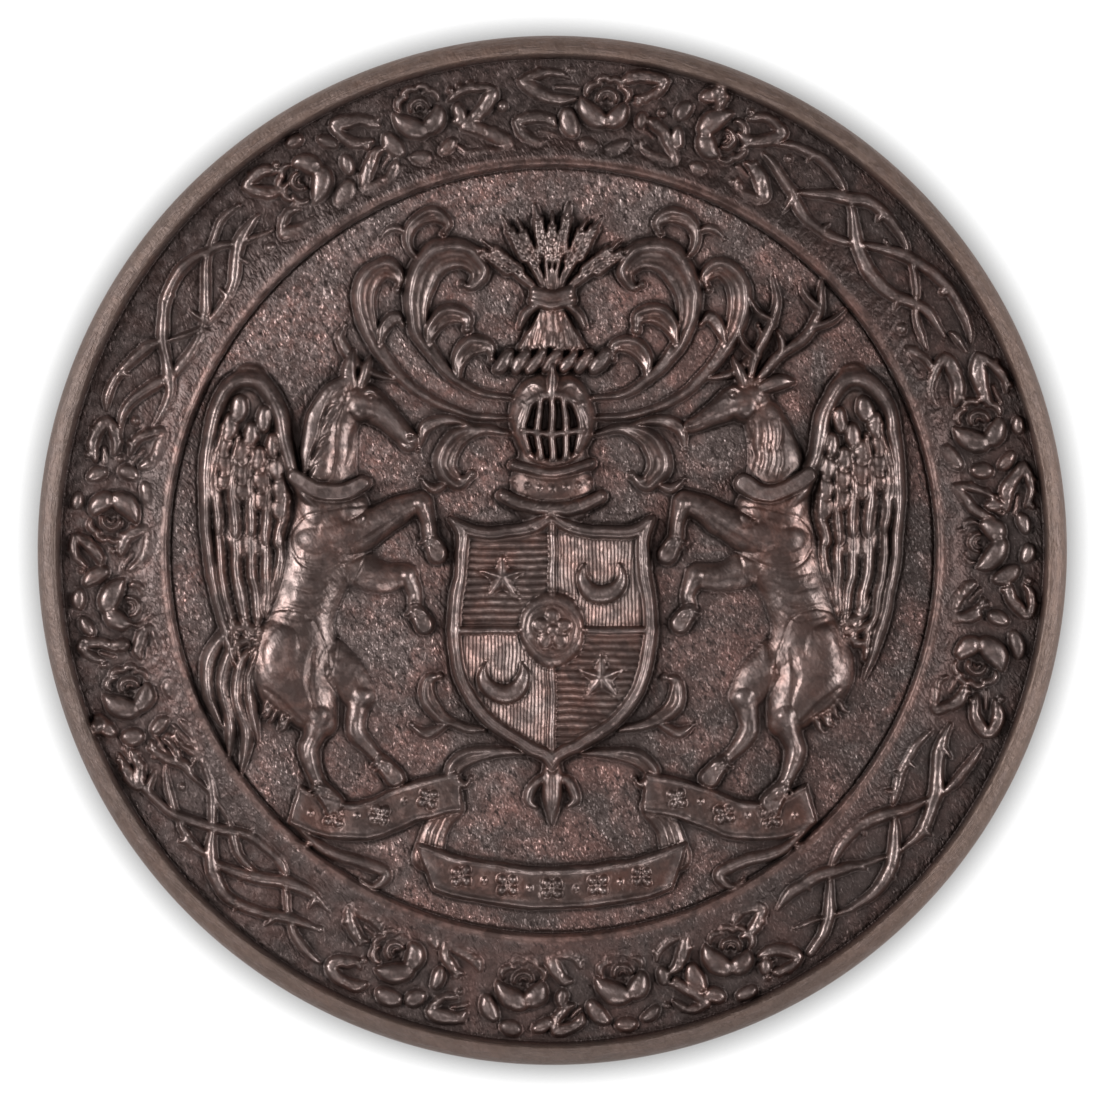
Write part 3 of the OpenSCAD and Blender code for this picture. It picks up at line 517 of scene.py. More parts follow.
def model(relief, rows, rise, lift=0.0, section=dome, thin=0.5, blend=0.0, moat=0.06):
    """Raises a form along rows of x, y and half width; thin stretches are lower, and a moat sets it off."""
    reach = max(0.2 if moat else 0.0, 1.5 * blend)
    box, along, across, half, widest, total = walk(relief, rows, reach)
    share = np.abs(across)
    top = lift + rise * (half / widest) ** thin
    new = lift + (top - lift) * section(across, along, half)
    old = relief.z[box]
    if blend:
        relief.z[box] = np.where(share < FAR, smooth_max(old, new, blend), old)
        return
    dip = relief.groove(box, np.clip(share - 1, 0, None) * half, moat) * (old < top + 0.04)
    relief.z[box] = np.where(share < 1, np.maximum(old, new), np.where(share < FAR, old - dip, old))


def mark(relief, rows, depth):
    """Adds a bead on top of what is there, or cuts a groove where the depth is below 0."""
    box, along, across, half, widest, total = walk(relief, rows, 0.0)
    amount = depth * (half / widest) ** 0.6 * dome(across, along, half)
    relief.z[box] += np.where(np.abs(across) < 1, amount, 0)


def boss(relief, x, y, half_x, half_y, turn, rise, lift=0.0, blend=0.0, section=dome, add=False, moat=0.0):
    """An oval form."""
    far = max(half_x, half_y) * (1.4 if blend else 1.05) + (0.2 if moat else 0)
    box = relief.window(x - far, x + far, y - far, y + far)
    gx, gy = relief.grid(box)
    c, s = math.cos(math.radians(turn)), math.sin(math.radians(turn))
    u = np.hypot(((gx - x) * c + (gy - y) * s) / half_x, ((gy - y) * c - (gx - x) * s) / half_y)
    old = relief.z[box]
    new = rise * section(u, 0, 0)
    if add:
        relief.z[box] = old + np.where(u < 1, new, 0)
    elif blend:
        relief.z[box] = smooth_max(old, lift + new, blend)
    else:
        dip = relief.groove(box, np.clip(u - 1, 0, None) * min(half_x, half_y), moat)
        relief.z[box] = np.where(u < 1, np.maximum(old, lift + new), old - dip)


def settle(relief, part, moat=0.08):
    """Lays a form that was modelled by itself over the relief, set off by a moat."""
    inside = part.z > 0
    near = np.clip(2 * blur(inside.astype(float), 0.09), 0, 1)
    lowered = relief.z - moat * near * relief.free()
    relief.z = np.where(inside, np.maximum(relief.z, part.z), lowered)


def blur(z, size):
    """A Gaussian blur of a size in millimetres."""
    cells = size / PITCH
    reach = int(math.ceil(3 * cells))
    weights = np.exp(-0.5 * (np.arange(-reach, reach + 1) / cells) ** 2)
    weights /= weights.sum()
    for axis in (0, 1):
        pad = [(reach, reach) if a == axis else (0, 0) for a in (0, 1)]
        wide = np.pad(z, pad, mode="edge")
        length = z.shape[axis]
        z = sum(w * np.take(wide, range(i, i + length), axis) for i, w in enumerate(weights))
    return z


def noise(rows):
    """Smooth random values over the grid, summed from rows of height, cell size and seed."""
    total = 0
    for height, cell, seed in rows:
        u = np.arange(COUNT) * PITCH / cell
        i = u.astype(int)
        values = np.random.default_rng(seed).standard_normal((i[-1] + 2, i[-1] + 2))
        share = (u - i) ** 2 * (3 - 2 * (u - i))
        down, right = share[:, None], share[None]
        top = values[i][:, i] * (1 - right) + values[i][:, i + 1] * right
        low = values[i + 1][:, i] * (1 - right) + values[i + 1][:, i + 1] * right
        total = total + height * (top * (1 - down) + low * down)
    return total


def polar(radius, bearing):
    """A point from its distance to the axis and its bearing."""
    return radius * math.sin(math.radians(bearing)), radius * math.cos(math.radians(bearing))


def shift(point, angle, distance):
    """A point moved along an angle in degrees from +X."""
    turn = math.radians(angle)
    return point[0] + distance * math.cos(turn), point[1] + distance * math.sin(turn)


def arc(centre, radius, angles, halves):
    """Rows on an arc about a centre, at angles in degrees from +X."""
    return [(*shift(centre, a, radius), half) for a, half in zip(angles, halves)]


def mix(a, b, t):
    """A share of the way from one row to another."""
    return tuple(p + (q - p) * t for p, q in zip(a, b))


def flipped(rows, sign):
    """Rows mirrored left to right where the sign is -1."""
    return [(sign * row[0], *row[1:]) for row in rows]


def beside(x, y, rows):
    """Rows that were given as steps from a point."""
    return [(x + right, y + up, half) for right, up, half in rows]


def rose(relief, bearing, radius, facing, chance):
    """An open rose: two fleshy lobes round a hollow eye, thick pads before and small scallops behind."""
    middle = polar(radius, bearing)
    turn = facing - bearing
    for angle, wide, spread in ((29, 0.36, 11), (-18, 0.42, 9), (-64, 0.5, 14), (85, 0.34, 8)):
        angle += turn + chance.uniform(-4, 4)
        far = 2.12 * chance.uniform(0.96, 1.03)
        wide *= chance.uniform(0.9, 1.1)
        halves = (0.72 * wide, wide, 1.02 * wide, 0.7 * wide)
        path = arc(middle, far, [angle + spread * k for k in (-1, -0.35, 0.35, 1)], halves)
        model(relief, path, 0.46, TROUGH, fleshy, thin=0.2, moat=MOAT)
    eye = shift(middle, turn + 176, 0.66)
    for angle in (-66, -24, 20, 62):
        lobe = shift(eye, turn + 180 + angle, 0.8)
        out = turn + 180 + 0.8 * angle + chance.uniform(-6, 6)
        path = arc(lobe, 0.46, [out + 36 * k for k in (-2, -1, 0, 1, 2)], (0.1, 0.17, 0.19, 0.16, 0.08))
        model(relief, path, 0.36, TROUGH, thin=0.4, moat=MOAT)
    lean = turn + chance.uniform(-5, 5)
    upper = [(84, 1.0, 0.12), (62, 1.06, 0.42), (40, 1.1, 0.58), (20, 1.1, 0.5), (8, 1.16, 0.2)]
    lower = [(4, 1.22, 0.2), (-12, 1.18, 0.52), (-36, 1.16, 0.62), (-60, 1.22, 0.5)]
    lower += [(-80, 1.34, 0.26), (-92, 1.46, 0.06)]
    for rows, rise in ((upper, 0.64), (lower, 0.66)):
        path = [(*shift(eye, lean + angle, far), half) for angle, far, half in rows]
        model(relief, path, rise, TROUGH, fleshy, thin=0.3, moat=MOAT)
    boss(relief, *eye, 0.36, 0.36, 0, -0.16, add=True)
    for far, wide, rise in ((0.5, 0.14, 0.5), (0.2, 0.09, 0.24)):
        angles = [lean + a for a in (86, 130, 180, 230, 274)]
        path = arc(eye, far, angles, (0.7 * wide, wide, 1.1 * wide, wide, 0.7 * wide))
        model(relief, path, rise, TROUGH, thin=0.3, moat=0.05)


def leaf(relief, foot_bearing, foot_radius, tip_bearing, tip_radius, half, chance):
    """A hollow leaf: thick uneven edges that meet at the tip, open at the foot, round a dark blade."""
    foot, tip = polar(foot_radius, foot_bearing), polar(tip_radius, tip_bearing)
    length = math.dist(foot, tip)
    ux, uy = (tip[0] - foot[0]) / length, (tip[1] - foot[1]) / length
    place = lambda t, off: (foot[0] + ux * length * t - uy * off, foot[1] + uy * length * t + ux * off)
    turn = math.degrees(math.atan2(uy, ux))
    boss(relief, *place(0.5, 0), 0.4 * length, 0.5 * half, turn, -0.06, add=True)
    heavy = chance.choice((-1, 1))
    for side in (-1, 1):
        thick = chance.uniform(1.3, 1.65) if side == heavy else chance.uniform(0.95, 1.25)
        start = chance.uniform(-0.02, 0.1) if side == heavy else chance.uniform(0.04, 0.24)
        rows = []
        for t, out, wide in LEAF_EDGE:
            t = start + (1 - start) * t
            wide *= thick * min(1, half / 0.72) * chance.uniform(0.85, 1.15)
            rows.append((*place(t, side * half * out * chance.uniform(0.88, 1.1)), wide))
        model(relief, rows, 0.48, TROUGH, fleshy, thin=0.3, moat=MOAT)
        for t in (0.2, 0.45, 0.7):
            t += chance.uniform(-0.07, 0.07)
            spot = place(t, side * half * (1.12 - 0.5 * t * t))
            boss(relief, *spot, 0.22, 0.19, 0, chance.uniform(0.3, 0.42), TROUGH, blend=0.05)
            inner = place(t + 0.11, side * half * (0.75 - 0.4 * t))
            mark(relief, [(*spot, 0.05), (*inner, 0.08)], -0.07)
    if chance.uniform() < 0.5:
        model(relief, [(*place(0.0, 0), 0.14), (*place(0.35, 0.05), 0.1)], 0.26, TROUGH, moat=0)


def braids(relief):
    """Briar stems that weave across the trough, with thorns."""
    for rows in STEMS:
        path = [(*polar(radius, bearing), 1.22 * half) for bearing, radius, half in rows]
        model(relief, path, 0.5, TROUGH, fleshy, thin=0.45, moat=0.08)
    for bearing, radius, tip_bearing, tip_radius, half in THORNS:
        root, tip = polar(radius, bearing), polar(tip_radius, tip_bearing)
        path = [(*root, half), (*mix(root, tip, 0.5), 0.75 * half), (*tip, 0.05)]
        model(relief, path, 0.44, TROUGH, thin=0.3, moat=0.05)


def border(relief):
    """Briars, leaves, berries and roses in the trough, and the lumps that bridge it."""
    chance = np.random.default_rng(7)
    braids(relief)
    for row in LEAVES:
        leaf(relief, *row, chance)
    for bearing, radius, size in BERRIES:
        boss(relief, *polar(radius, bearing), size, size, 0, 1.3 * size, TROUGH + 0.05, moat=MOAT)
    for row in ROSES:
        rose(relief, *row, chance)
    for bearing, radius, long, wide in LUMPS:
        boss(relief, *polar(radius, bearing), long, wide, -bearing, 0.8, TROUGH, blend=0.16)


def feather(pen, root, middle, tip, half, rise, lift):
    """A feather: a bold shaft on a low combed vane."""
    relief = pen.relief
    rows = [(*root, 0.7 * half), (*middle, half), (*mix(middle, tip, 0.75), 0.9 * half), (*tip, 0.2 * half)]
    box, along, across, wide, widest, total = walk(relief, flipped(rows, pen.sign), 0.2)
    share = np.abs(across)
    comb = 0.1 * np.cos(2 * np.pi * (along * total / 0.42 + 1.1 * share))
    comb *= np.clip((share - 0.5) / 0.2, 0, 1)
    shaft = np.clip(1 - (across / 0.58) ** 2, 0, 1) * (1 - 0.25 * along)
    new = lift + rise * (0.34 * (1 - share**6) + comb + 0.7 * shaft)
    old = relief.z[box]
    dip = relief.groove(box, np.clip(share - 1, 0, None) * wide, 0.1, 0.08)
    relief.z[box] = np.where(share < 1, np.maximum(old, new), np.where(share < FAR, old - dip, old))


def wing(pen):
    """A raised wing: a low base, two rows of long feathers, rows of small coverts and the arm."""
    chance = np.random.default_rng(30)
    pen.model(WING_BASE, 0.44, 0, plate, 0, moat=0)
    for outer_root, outer_tip, inner_root, inner_tip, count, half, lift in WING_ROWS:
        for i in reversed(range(count)):
            t = i / (count - 1)
            root, (x, y) = mix(outer_root, inner_root, t), mix(outer_tip, inner_tip, t)
            tip = (x + 0.25 * math.sin(3 * t), y + 0.9 * t * (1 - t) - 0.2 * (i % 2))
            x, y = mix(root, tip, 0.5)
            feather(pen, root, (x - 0.42 * (1 - 1.5 * t), y), tip, half, 0.56, lift + 0.1 * (1 - t))
    for row, (outer, inner, count) in enumerate(COVERT_ROWS):
        for i in range(count):
            x, y = mix(outer, inner, i / (count - 1))
            size = 0.46 * chance.uniform(0.92, 1.08)
            rows = [(x, y, 0.8 * size), (x - 0.03, y - 0.4, size), (x - 0.06, y - 0.8, 0.7 * size)]
            pen.model(rows, 0.42, 0.3 + 0.05 * row, thin=0.2, moat=MOAT)
    pen.model(WING_ARM, 0.94, 0.04, rounded, thin=0.4, moat=0.12)


def lock(pen, x, y, angle, length, half, rise, lift, bend=30):
    """A pointed lock of hair from x, y."""
    a = shift((x, y), angle, 0.4 * length)
    b = shift(a, angle + bend, 0.35 * length)
    c = shift(b, angle - 0.4 * bend, 0.35 * length)
    pen.model([(x, y, 0.7 * half), (*a, half), (*b, 0.7 * half), (*c, 0.04)], rise, lift, moat=0.07)


def head(pen, rows, ear):
    """Details of a head in profile, placed from its brow and its nose."""
    brow, nose = rows[1][:2], rows[-1][:2]
    # cheek and jaw line
    pen.boss(brow[0] - 0.45, brow[1] - 0.15, 0.72, 0.62, 25, 0.12, add=True)
    pen.mark(beside(*brow, [(-1.1, -0.5, 0.06), (-0.5, -0.95, 0.13), (0.3, -0.75, 0.06)]), -0.16)
    # brow, eye and its lids
    pen.boss(brow[0] + 0.12, brow[1] + 0.42, 0.3, 0.22, 20, -0.2, add=True)
    pen.boss(brow[0] + 0.12, brow[1] + 0.42, 0.18, 0.15, 0, 0.24, add=True)
    pen.mark(beside(*brow, [(-0.3, 0.62, 0.05), (0.1, 0.76, 0.12), (0.6, 0.42, 0.05)]), 0.18)
    # nose bridge, nostril and mouth
    pen.mark([(brow[0] + 0.5, brow[1] + 0.2, 0.06), (nose[0] - 0.2, nose[1] + 0.5, 0.12)], 0.08)
    pen.boss(nose[0] + 0.08, nose[1] + 0.22, 0.19, 0.13, -40, -0.26, add=True)
    pen.mark(beside(*nose, [(-0.15, 0.34, 0.05), (0.2, 0.42, 0.09)]), 0.1)
    pen.mark(beside(*nose, [(0.4, -0.28, 0.05), (-0.2, -0.16, 0.1), (-0.7, 0.1, 0.05)]), -0.2)
    # ears on the poll
    pen.boss(-10.9, 9.2, 0.7, 0.55, 20, 0.66, 0.1, blend=0.1)
    pen.model(FAR_EAR, 0.7, 0.14)
    pen.model(ear, 0.92, 0.14, moat=0.07)
    pen.mark([(x, y, 0.5 * wide) for x, y, wide in ear], -0.14)


def hoof(pen, rows, rise):
    """A hoof and the hair over it."""
    pen.model(rows, rise, 0.1, plate, thin=0.2, moat=0.1)
    x, y, wide = rows[0]
    for angle in (-150, -120, -60, -30):
        lock(pen, x, y + 0.1, angle, 0.62, 0.13, 0.14, rise + 0.02, 10)


def leg(pen, upper, lower, rise, lift):
    """A leg in two parts, with a bony joint and a sinew."""
    part = Pen(Relief(-1), pen.sign)
    part.model(upper, rise, lift, rounded, blend=0.08, moat=0)
    part.model(lower, rise * 0.86, lift, rounded, 0.4, blend=0.14, moat=0)
    settle(pen.relief, part.relief, 0.12)
    x, y, wide = lower[0]
    pen.boss(x, y, 0.62 * wide, 0.7 * wide, 0, 0.1, add=True)
    pen.mark([(x - 0.15 * wide, y, 0.2 * wide) for x, y, wide in lower[1:]], -0.08)


def trunk(pen, profile):
    """Trunk, neck and head in one soft body, with its muscles."""
    body = Pen(Relief(-1), pen.sign)
    body.model(TRUNK, 0.98, 0, rounded, 0.3, blend=0.1, moat=0)
    body.model(NECK, 0.9, 0.04, rounded, 0.3, blend=0.2, moat=0)
    body.model(profile, 0.86, 0.12, rounded, 0.3, blend=0.1, moat=0)
    body.boss(-10.75, 7.9, 0.95, 0.8, -20, 0.86, 0.14, blend=0.08, section=rounded)
    settle(pen.relief, body.relief, 0.12)
    # ribs, flank, breast and throat
    for k in range(6):
        rib = [(1.5, 0.25, 0.06), (0.5, -0.3, 0.16), (-0.9, -0.1, 0.06)]
        pen.mark(beside(-12.9 - 0.24 * k, 0.4 - 0.78 * k, rib), -0.055)
    pen.mark([(-11.9, -4.6, 0.1), (-12.3, -5.8, 0.34), (-12.9, -7.2, 0.2)], -0.16)
    pen.boss(-10.9, 2.3, 0.75, 1.05, -15, 0.16, add=True)
    pen.boss(-13.4, 2.6, 0.7, 1.3, 20, 0.1, add=True)
    pen.mark([(-11.4, 4.6, 0.08), (-11.0, 6.0, 0.2), (-10.7, 7.2, 0.08)], -0.1)


def near_legs(pen):
    """The legs over the trunk, with the muscles of haunch and shoulder."""
    leg(pen, THIGH, SHANK, 1.0, 0.14)
    leg(pen, FOREARM, CANNON, 0.98, 0.16)
    hoof(pen, HIND_HOOF, 0.66)
    hoof(pen, FORE_HOOF, 0.66)
    pen.boss(-15.0, -5.6, 1.0, 1.5, -12, 0.12, add=True)
    pen.mark([(-13.1, -5.4, 0.08), (-13.5, -7.0, 0.26), (-13.2, -8.6, 0.1)], -0.12)
    pen.mark([(-15.9, -7.6, 0.08), (-14.9, -8.4, 0.2), (-13.8, -9.5, 0.08)], -0.1)
    pen.boss(-12.0, 1.0, 1.0, 0.8, 0, 0.12, add=True)
    pen.mark([(-11.2, 0.2, 0.06), (-9.9, 0.9, 0.15), (-8.6, 1.8, 0.06)], -0.09)


def horse_hair(pen, chance):
    """Locks behind the neck, the mass of the mane and the marks combed into it."""
    for k in range(6):
        t = k / 6
        angle = 222 + 18 * t + chance.uniform(-8, 8)
        lock(pen, -12.2 - 1.3 * t, 8.7 - 4.3 * t, angle, 1.5, 0.3, 0.4, 0.5, 24)
    pen.model(MANE, 0.46, 0.64, dome, 0.3, moat=0.08)
    for k in range(9):
        sweep = chance.uniform(-0.12, 0.12)
        strand = [(0, 0, 0.05), (-0.5, -0.42 + sweep, 0.12), (-0.95, -1.25 + sweep, 0.13)]
        strand += [(-1.15, -1.9, 0.05)]
        pen.mark(beside(-11.5 - 0.16 * k, 9.2 - 0.54 * k, strand), -0.15)


def stag_hair(pen, chance):
    """Strands combed into the neck."""
    strand = [(0, 0, 0.05), (-0.12, -0.7, 0.13), (-0.05, -1.3, 0.12), (0.12, -1.8, 0.05)]
    for k in range(8):
        x, y = -12.5 + 0.5 * (k % 4), 7.3 - 1.5 * (k // 4) + chance.uniform(-0.2, 0.2)
        pen.mark(beside(x, y, strand), -0.12)


def collar(pen):
    """A plain collar with its rims and studs."""
    pen.model(COLLAR, 0.4, 0.94, plate, 0.2, moat=0.14)
    for off in (-0.3, 0.3):
        pen.mark([(x, y + off, 0.1) for x, y, wide in COLLAR], 0.07)
    for t in (0.12, 0.31, 0.5, 0.69, 0.88):
        x, y, wide = mix(COLLAR[0], COLLAR[-1], t)
        pen.boss(x, y - 0.75 * math.sin(math.pi * t), 0.14, 0.14, 0, 0.09, add=True)


def supporter(pen, horse):
    """A winged horse or a winged stag that rears against the shield."""
    chance = np.random.default_rng(21 if horse else 22)
    profile = HORSE_HEAD if horse else STAG_HEAD
    wing(pen)
    for rows in HORSE_TAIL if horse else STAG_TAIL:
        pen.model(rows, 0.62, 0.02, keel, 0.4, moat=0.08)
        pen.mark([(x + 0.1, y, 0.3 * wide) for x, y, wide in rows[:-1]], -0.06)
    leg(pen, FAR_THIGH, FAR_SHANK, 0.64, 0)
    leg(pen, FAR_FOREARM, FAR_CANNON, 0.6, 0)
    hoof(pen, FAR_HIND_HOOF, 0.5)
    hoof(pen, FAR_FORE_HOOF, 0.48)
    if not horse:
        for rows in ANTLERS:
            pen.model(rows, 0.74, 0.02, dome, 0.3, moat=0.07)
    trunk(pen, profile)
    near_legs(pen)
    head(pen, profile, HORSE_EAR if horse else STAG_EAR)
    (horse_hair if horse else stag_hair)(pen, chance)
    # hair of the belly and the breast
    for k in range(5):
        angle = 232 + chance.uniform(-10, 10)
        lock(pen, -15.6 + 0.28 * k, -8.2 - 0.26 * k, angle, 0.95, 0.16, 0.2, 0.3, 24)
    for k in range(4):
        lock(pen, -10.5 - 0.2 * k, 1.9 - 0.1 * k, 250 + 10 * k, 0.8, 0.14, 0.16, 0.86, 20)
    collar(pen)


def outline_distance(relief, outline):
    """The box round a closed outline, and in it the distance to the outline, above 0 inside."""
    p = np.array(outline, float)
    box = relief.around(p, 0.3)
    x, y = relief.grid(box)
    best = np.full(np.broadcast(x, y).shape, 1e9)
    inside = np.zeros(best.shape, bool)
    for a, b in zip(p, np.roll(p, -1, 0)):
        d = b - a
        t = np.clip(((x - a[0]) * d[0] + (y - a[1]) * d[1]) / max(d @ d, 1e-12), 0, 1)
        best = np.minimum(best, np.hypot(x - a[0] - t * d[0], y - a[1] - t * d[1]))
        if a[1] != b[1]:
            inside ^= ((a[1] > y) != (b[1] > y)) & (x < (b[0] - a[0]) * (y - a[1]) / (b[1] - a[1]) + a[0])
    return box, np.where(inside, best, -best)


def star(relief, x, y, reach):
    """A star with five faceted points."""
    box = relief.window(x - reach, x + reach, y - reach, y + reach)
    gx, gy = relief.grid(box)
    far = np.hypot(gx - x, gy - y)
    turn = np.abs((np.degrees(np.arctan2(gy - y, gx - x)) - 90 + 36) % 72 - 36)
    px, py = far * np.cos(np.radians(turn)), far * np.sin(np.radians(turn))
    notch = shift((0, 0), 36, 0.44 * reach)
    edge = (notch[0] - reach, notch[1])
    size = math.hypot(*edge)
    depth = (edge[0] * py - edge[1] * (px - reach)) / size
    depth = depth / (edge[1] * reach / size)
    old = relief.z[box]
    near = np.clip(1 + depth * 3, 0, 1) * (depth < 0)
    new = 0.52 + 0.5 * np.clip(depth, 0, 1) ** 0.8
    relief.z[box] = np.where(depth > 0, np.maximum(old, new), old - 0.1 * near)


def crescent(relief, x, y, reach):
    """A crescent with its points upwards."""
    path = arc((x, y + 0.2), reach, range(150, 391, 40), (0.05, 0.3, 0.46, 0.52, 0.46, 0.3, 0.05))
    model(relief, path, 0.42, 0.58, thin=0.4)


def shield(relief):
    """The shield, quartered with stars and crescents round a rose, on hatched grounds."""
    left = [(-x, y) for x, y in SHIELD_SIDE[-2:0:-1]]
    rows = [(x, y, 0.1) for x, y in SHIELD_SIDE + left + SHIELD_SIDE[:1]]
    box, inner = outline_distance(relief, spline(rows)[:, :2])
    x, y = relief.grid(box)
    crown = 0.2 * np.sqrt(np.clip(1 - (x / 6.4) ** 2, 0, 1))
    frame_edge = 0.8 * np.clip(inner / 0.2, 0, 1) ** 0.5 - 0.14 * np.exp(-(((inner - 0.36) / 0.1) ** 2))
    sunk = np.clip((inner - 0.56) / 0.12, 0, 1)
    upright = x * (y - SHIELD_MIDDLE) > 0
    hatch = np.where(upright, np.cos(2 * np.pi * x / 0.4), np.cos(2 * np.pi * y / 0.4))
    ground = 0.4 + 0.06 * hatch * np.clip((inner - 0.75) / 0.1, 0, 1)
    z = crown + frame_edge * (1 - sunk) + ground * sunk
    dip = relief.groove(box, np.clip(-inner, 0, None), 0.12, 0.12)
    relief.z[box] = np.where(inner > 0, z, relief.z[box] - dip)
    model(relief, [(0, 1.6, 0.2), (0, -11.6, 0.2)], 0.22, 0.6)
    model(relief, [(-5.2, SHIELD_MIDDLE, 0.2), (5.2, SHIELD_MIDDLE, 0.2)], 0.22, 0.6)
    star(relief, -2.75, -1.5, 1.4)
    star(relief, 2.7, -7.0, 1.4)
    crescent(relief, 2.75, -1.5, 1.15)
    crescent(relief, -2.7, -7.0, 1.15)
    boss(relief, 0, SHIELD_MIDDLE, 1.8, 2.1, 0, 0.34, 0.6, section=plate, moat=0.1)
    mark(relief, arc((0, SHIELD_MIDDLE), 1.42, range(0, 361, 20), [0.1] * 19), -0.1)
    for k in range(5):
        spot = shift((0, SHIELD_MIDDLE), 90 + 72 * k, 0.62)
        boss(relief, *spot, 0.52, 0.44, 90 + 72 * k, 0.34, 0.84, moat=0.08)
        mark(relief, [(*shift(spot, 90 + 72 * k, 0.3), 0.06), (*spot, 0.1)], -0.08)
    boss(relief, 0, SHIELD_MIDDLE, 0.3, 0.3, 0, 0.3, 0.98, moat=0.08)


def helm(relief):
    """A helm that faces forwards, with a barred opening, on its gorget."""
    part = Relief(-1)
    model(part, [(0, 3.3, 2.3), (0, 4.1, 2.15), (0, 4.9, 1.9)], 0.85, thin=0.3, blend=0.04, moat=0)
    boss(part, 0, 7.35, 2.4, 2.75, 0, 1.2, blend=0.06)
    settle(relief, part, 0.12)
    face_y, face_r = 6.75, 1.72
    box = relief.window(-2.4, 2.4, face_y - 2.4, face_y + 2.4)
    x, y = relief.grid(box)
    u = np.hypot(x / face_r, (y - face_y) / face_r)
    opening = np.clip((1 - u) / 0.14, 0, 1)
    relief.z[box] = relief.z[box] * (1 - opening) + (0.45 + 0.15 * (1 - u**2)) * opening
    mark(relief, arc((0, face_y), 1.88, range(0, 361, 15), [0.2] * 25), 0.17)
    for k in range(-2, 3):
        x = 0.62 * k
        reach = math.sqrt(face_r**2 - x * x)
        bar = [(1.05 * x, face_y - reach, 0.16), (1.3 * x, face_y, 0.18), (1.05 * x, face_y + reach, 0.16)]
        model(relief, bar, 0.3, 0.84 + 0.1 * (1 - abs(k) / 2), thin=0.2, moat=0.14)
    bar = [(-1.7, face_y - 0.15, 0.15), (0, face_y - 0.3, 0.17), (1.7, face_y - 0.15, 0.15)]
    model(relief, bar, 0.3, 0.92, thin=0.2)
    model(relief, [(0, 8.5, 0.2), (0, 9.3, 0.24), (0, 10.1, 0.14)], 0.26, 1.05, keel)
    for side in (-1, 1):
        for k in range(4):
            boss(relief, *shift((0, face_y), 90 - side * (52 + 25 * k), 2.16), 0.13, 0.13, 0, 0.1, add=True)
        mark(relief, [(side * 0.5, 8.95, 0.06), (side * 1.1, 9.2, 0.12), (side * 1.7, 8.7, 0.05)], 0.1)
    neck = [(-2.15, 4.75, 0.24), (0, 4.3, 0.27), (2.15, 4.75, 0.24)]
    model(relief, neck, 0.34, 0.72, thin=0.2, moat=0.12)
    hem = [(-2.75, 3.0, 0.32), (-1.4, 2.45, 0.36), (0, 2.3, 0.38), (1.4, 2.45, 0.36), (2.75, 3.0, 0.32)]
    model(relief, hem, 0.5, 0.56, thin=0.2, moat=0.14)
    for k in range(-3, 4):
        boss(relief, 0.72 * k, 3.4 + 0.05 * k * k, 0.17, 0.17, 0, 0.14, add=True)
        mark(relief, beside(0.78 * k, 2.3 + 0.06 * k * k, [(-0.2, 0, 0.06), (0.2, 0.35, 0.06)]), -0.1)


def crest(relief):
    """A twisted wreath and the wheat sheaf that stands on it."""
    for k in range(7):
        x = -2.64 + 0.88 * k
        rows = [(x - 0.34, 10.0, 0.3), (x, 10.4, 0.42), (x + 0.34, 10.85, 0.3)]
        model(relief, rows, 0.55, 0.38, thin=0.3, moat=0.14)
        mark(relief, [(x - 0.2, 10.02, 0.06), (x + 0.42, 10.7, 0.06)], -0.08)
    for order in (1, 0):
        for k in range(order, 11, 2):
            t = (k - 5) / 5
            high = 1 - abs(t)
            waist, top = (0.55 * t, 13.9), (3.0 * t, 17.4 - 1.5 * t * t - 0.5 * (k % 2))
            x, y = mix(waist, top, 0.5)
            x *= 0.86
            lift = 0.16 + 0.2 * high
            stalk = [(1.7 * t, 11.2, 0.2), (0.8 * t, 12.7, 0.17)]
            stalk += [(*waist, 0.15), (x, y, 0.15), (*top, 0.14)]
            model(relief, stalk, 0.4, lift, thin=0.2, moat=0.08)
            ahead = math.degrees(math.atan2(top[1] - y, top[0] - x))
            for grain in range(6):
                spot = shift(top, ahead, 0.33 * grain - 0.75)
                for side in (-1, 1):
                    at = shift(spot, ahead + 90 * side, 0.2 * (1 - 0.1 * grain))
                    boss(relief, *at, 0.3, 0.16, ahead + 26 * side, 0.44, lift + 0.04, moat=0.06)
            tip = shift(top, ahead, 1.2)
            model(relief, [(*tip, 0.15), (*shift(tip, ahead, 0.7), 0.04)], 0.42, lift, keel)
    for y, wide in ((13.75, 0.36), (14.2, 0.3)):
        tie = [(-0.95, y + 0.1, wide), (0, y - 0.1, wide), (0.95, y + 0.1, wide)]
        model(relief, tie, 0.4, 0.56, thin=0.2, moat=0.12)
    for sign in (-1, 1):
        pen = Pen(relief, sign)
        pen.model([(0.5, 13.7, 0.16), (1.4, 13.1, 0.24), (1.8, 12.3, 0.1)], 0.3, 0.5, keel)
        for k in range(5):
            pen.mark([(0.2 + 0.28 * k, 13.1, 0.05), (0.3 + 0.36 * k, 11.3, 0.07)], -0.1)


def mantling(relief):
    """Even scrolls on both sides, each with a bead at its tip."""
    for sign in (1, -1):
        for rise, rows in SCROLLS:
            rows = flipped(rows, sign)
            model(relief, rows, rise, 0, swept if turns_left(rows) else swept_back, 0.4, moat=MOAT)
            x, y, wide = rows[-1]
            boss(relief, x, y, 1.5 * wide + 0.06, 1.5 * wide + 0.06, 0, 0.8 * rise, 0, moat=0.06)


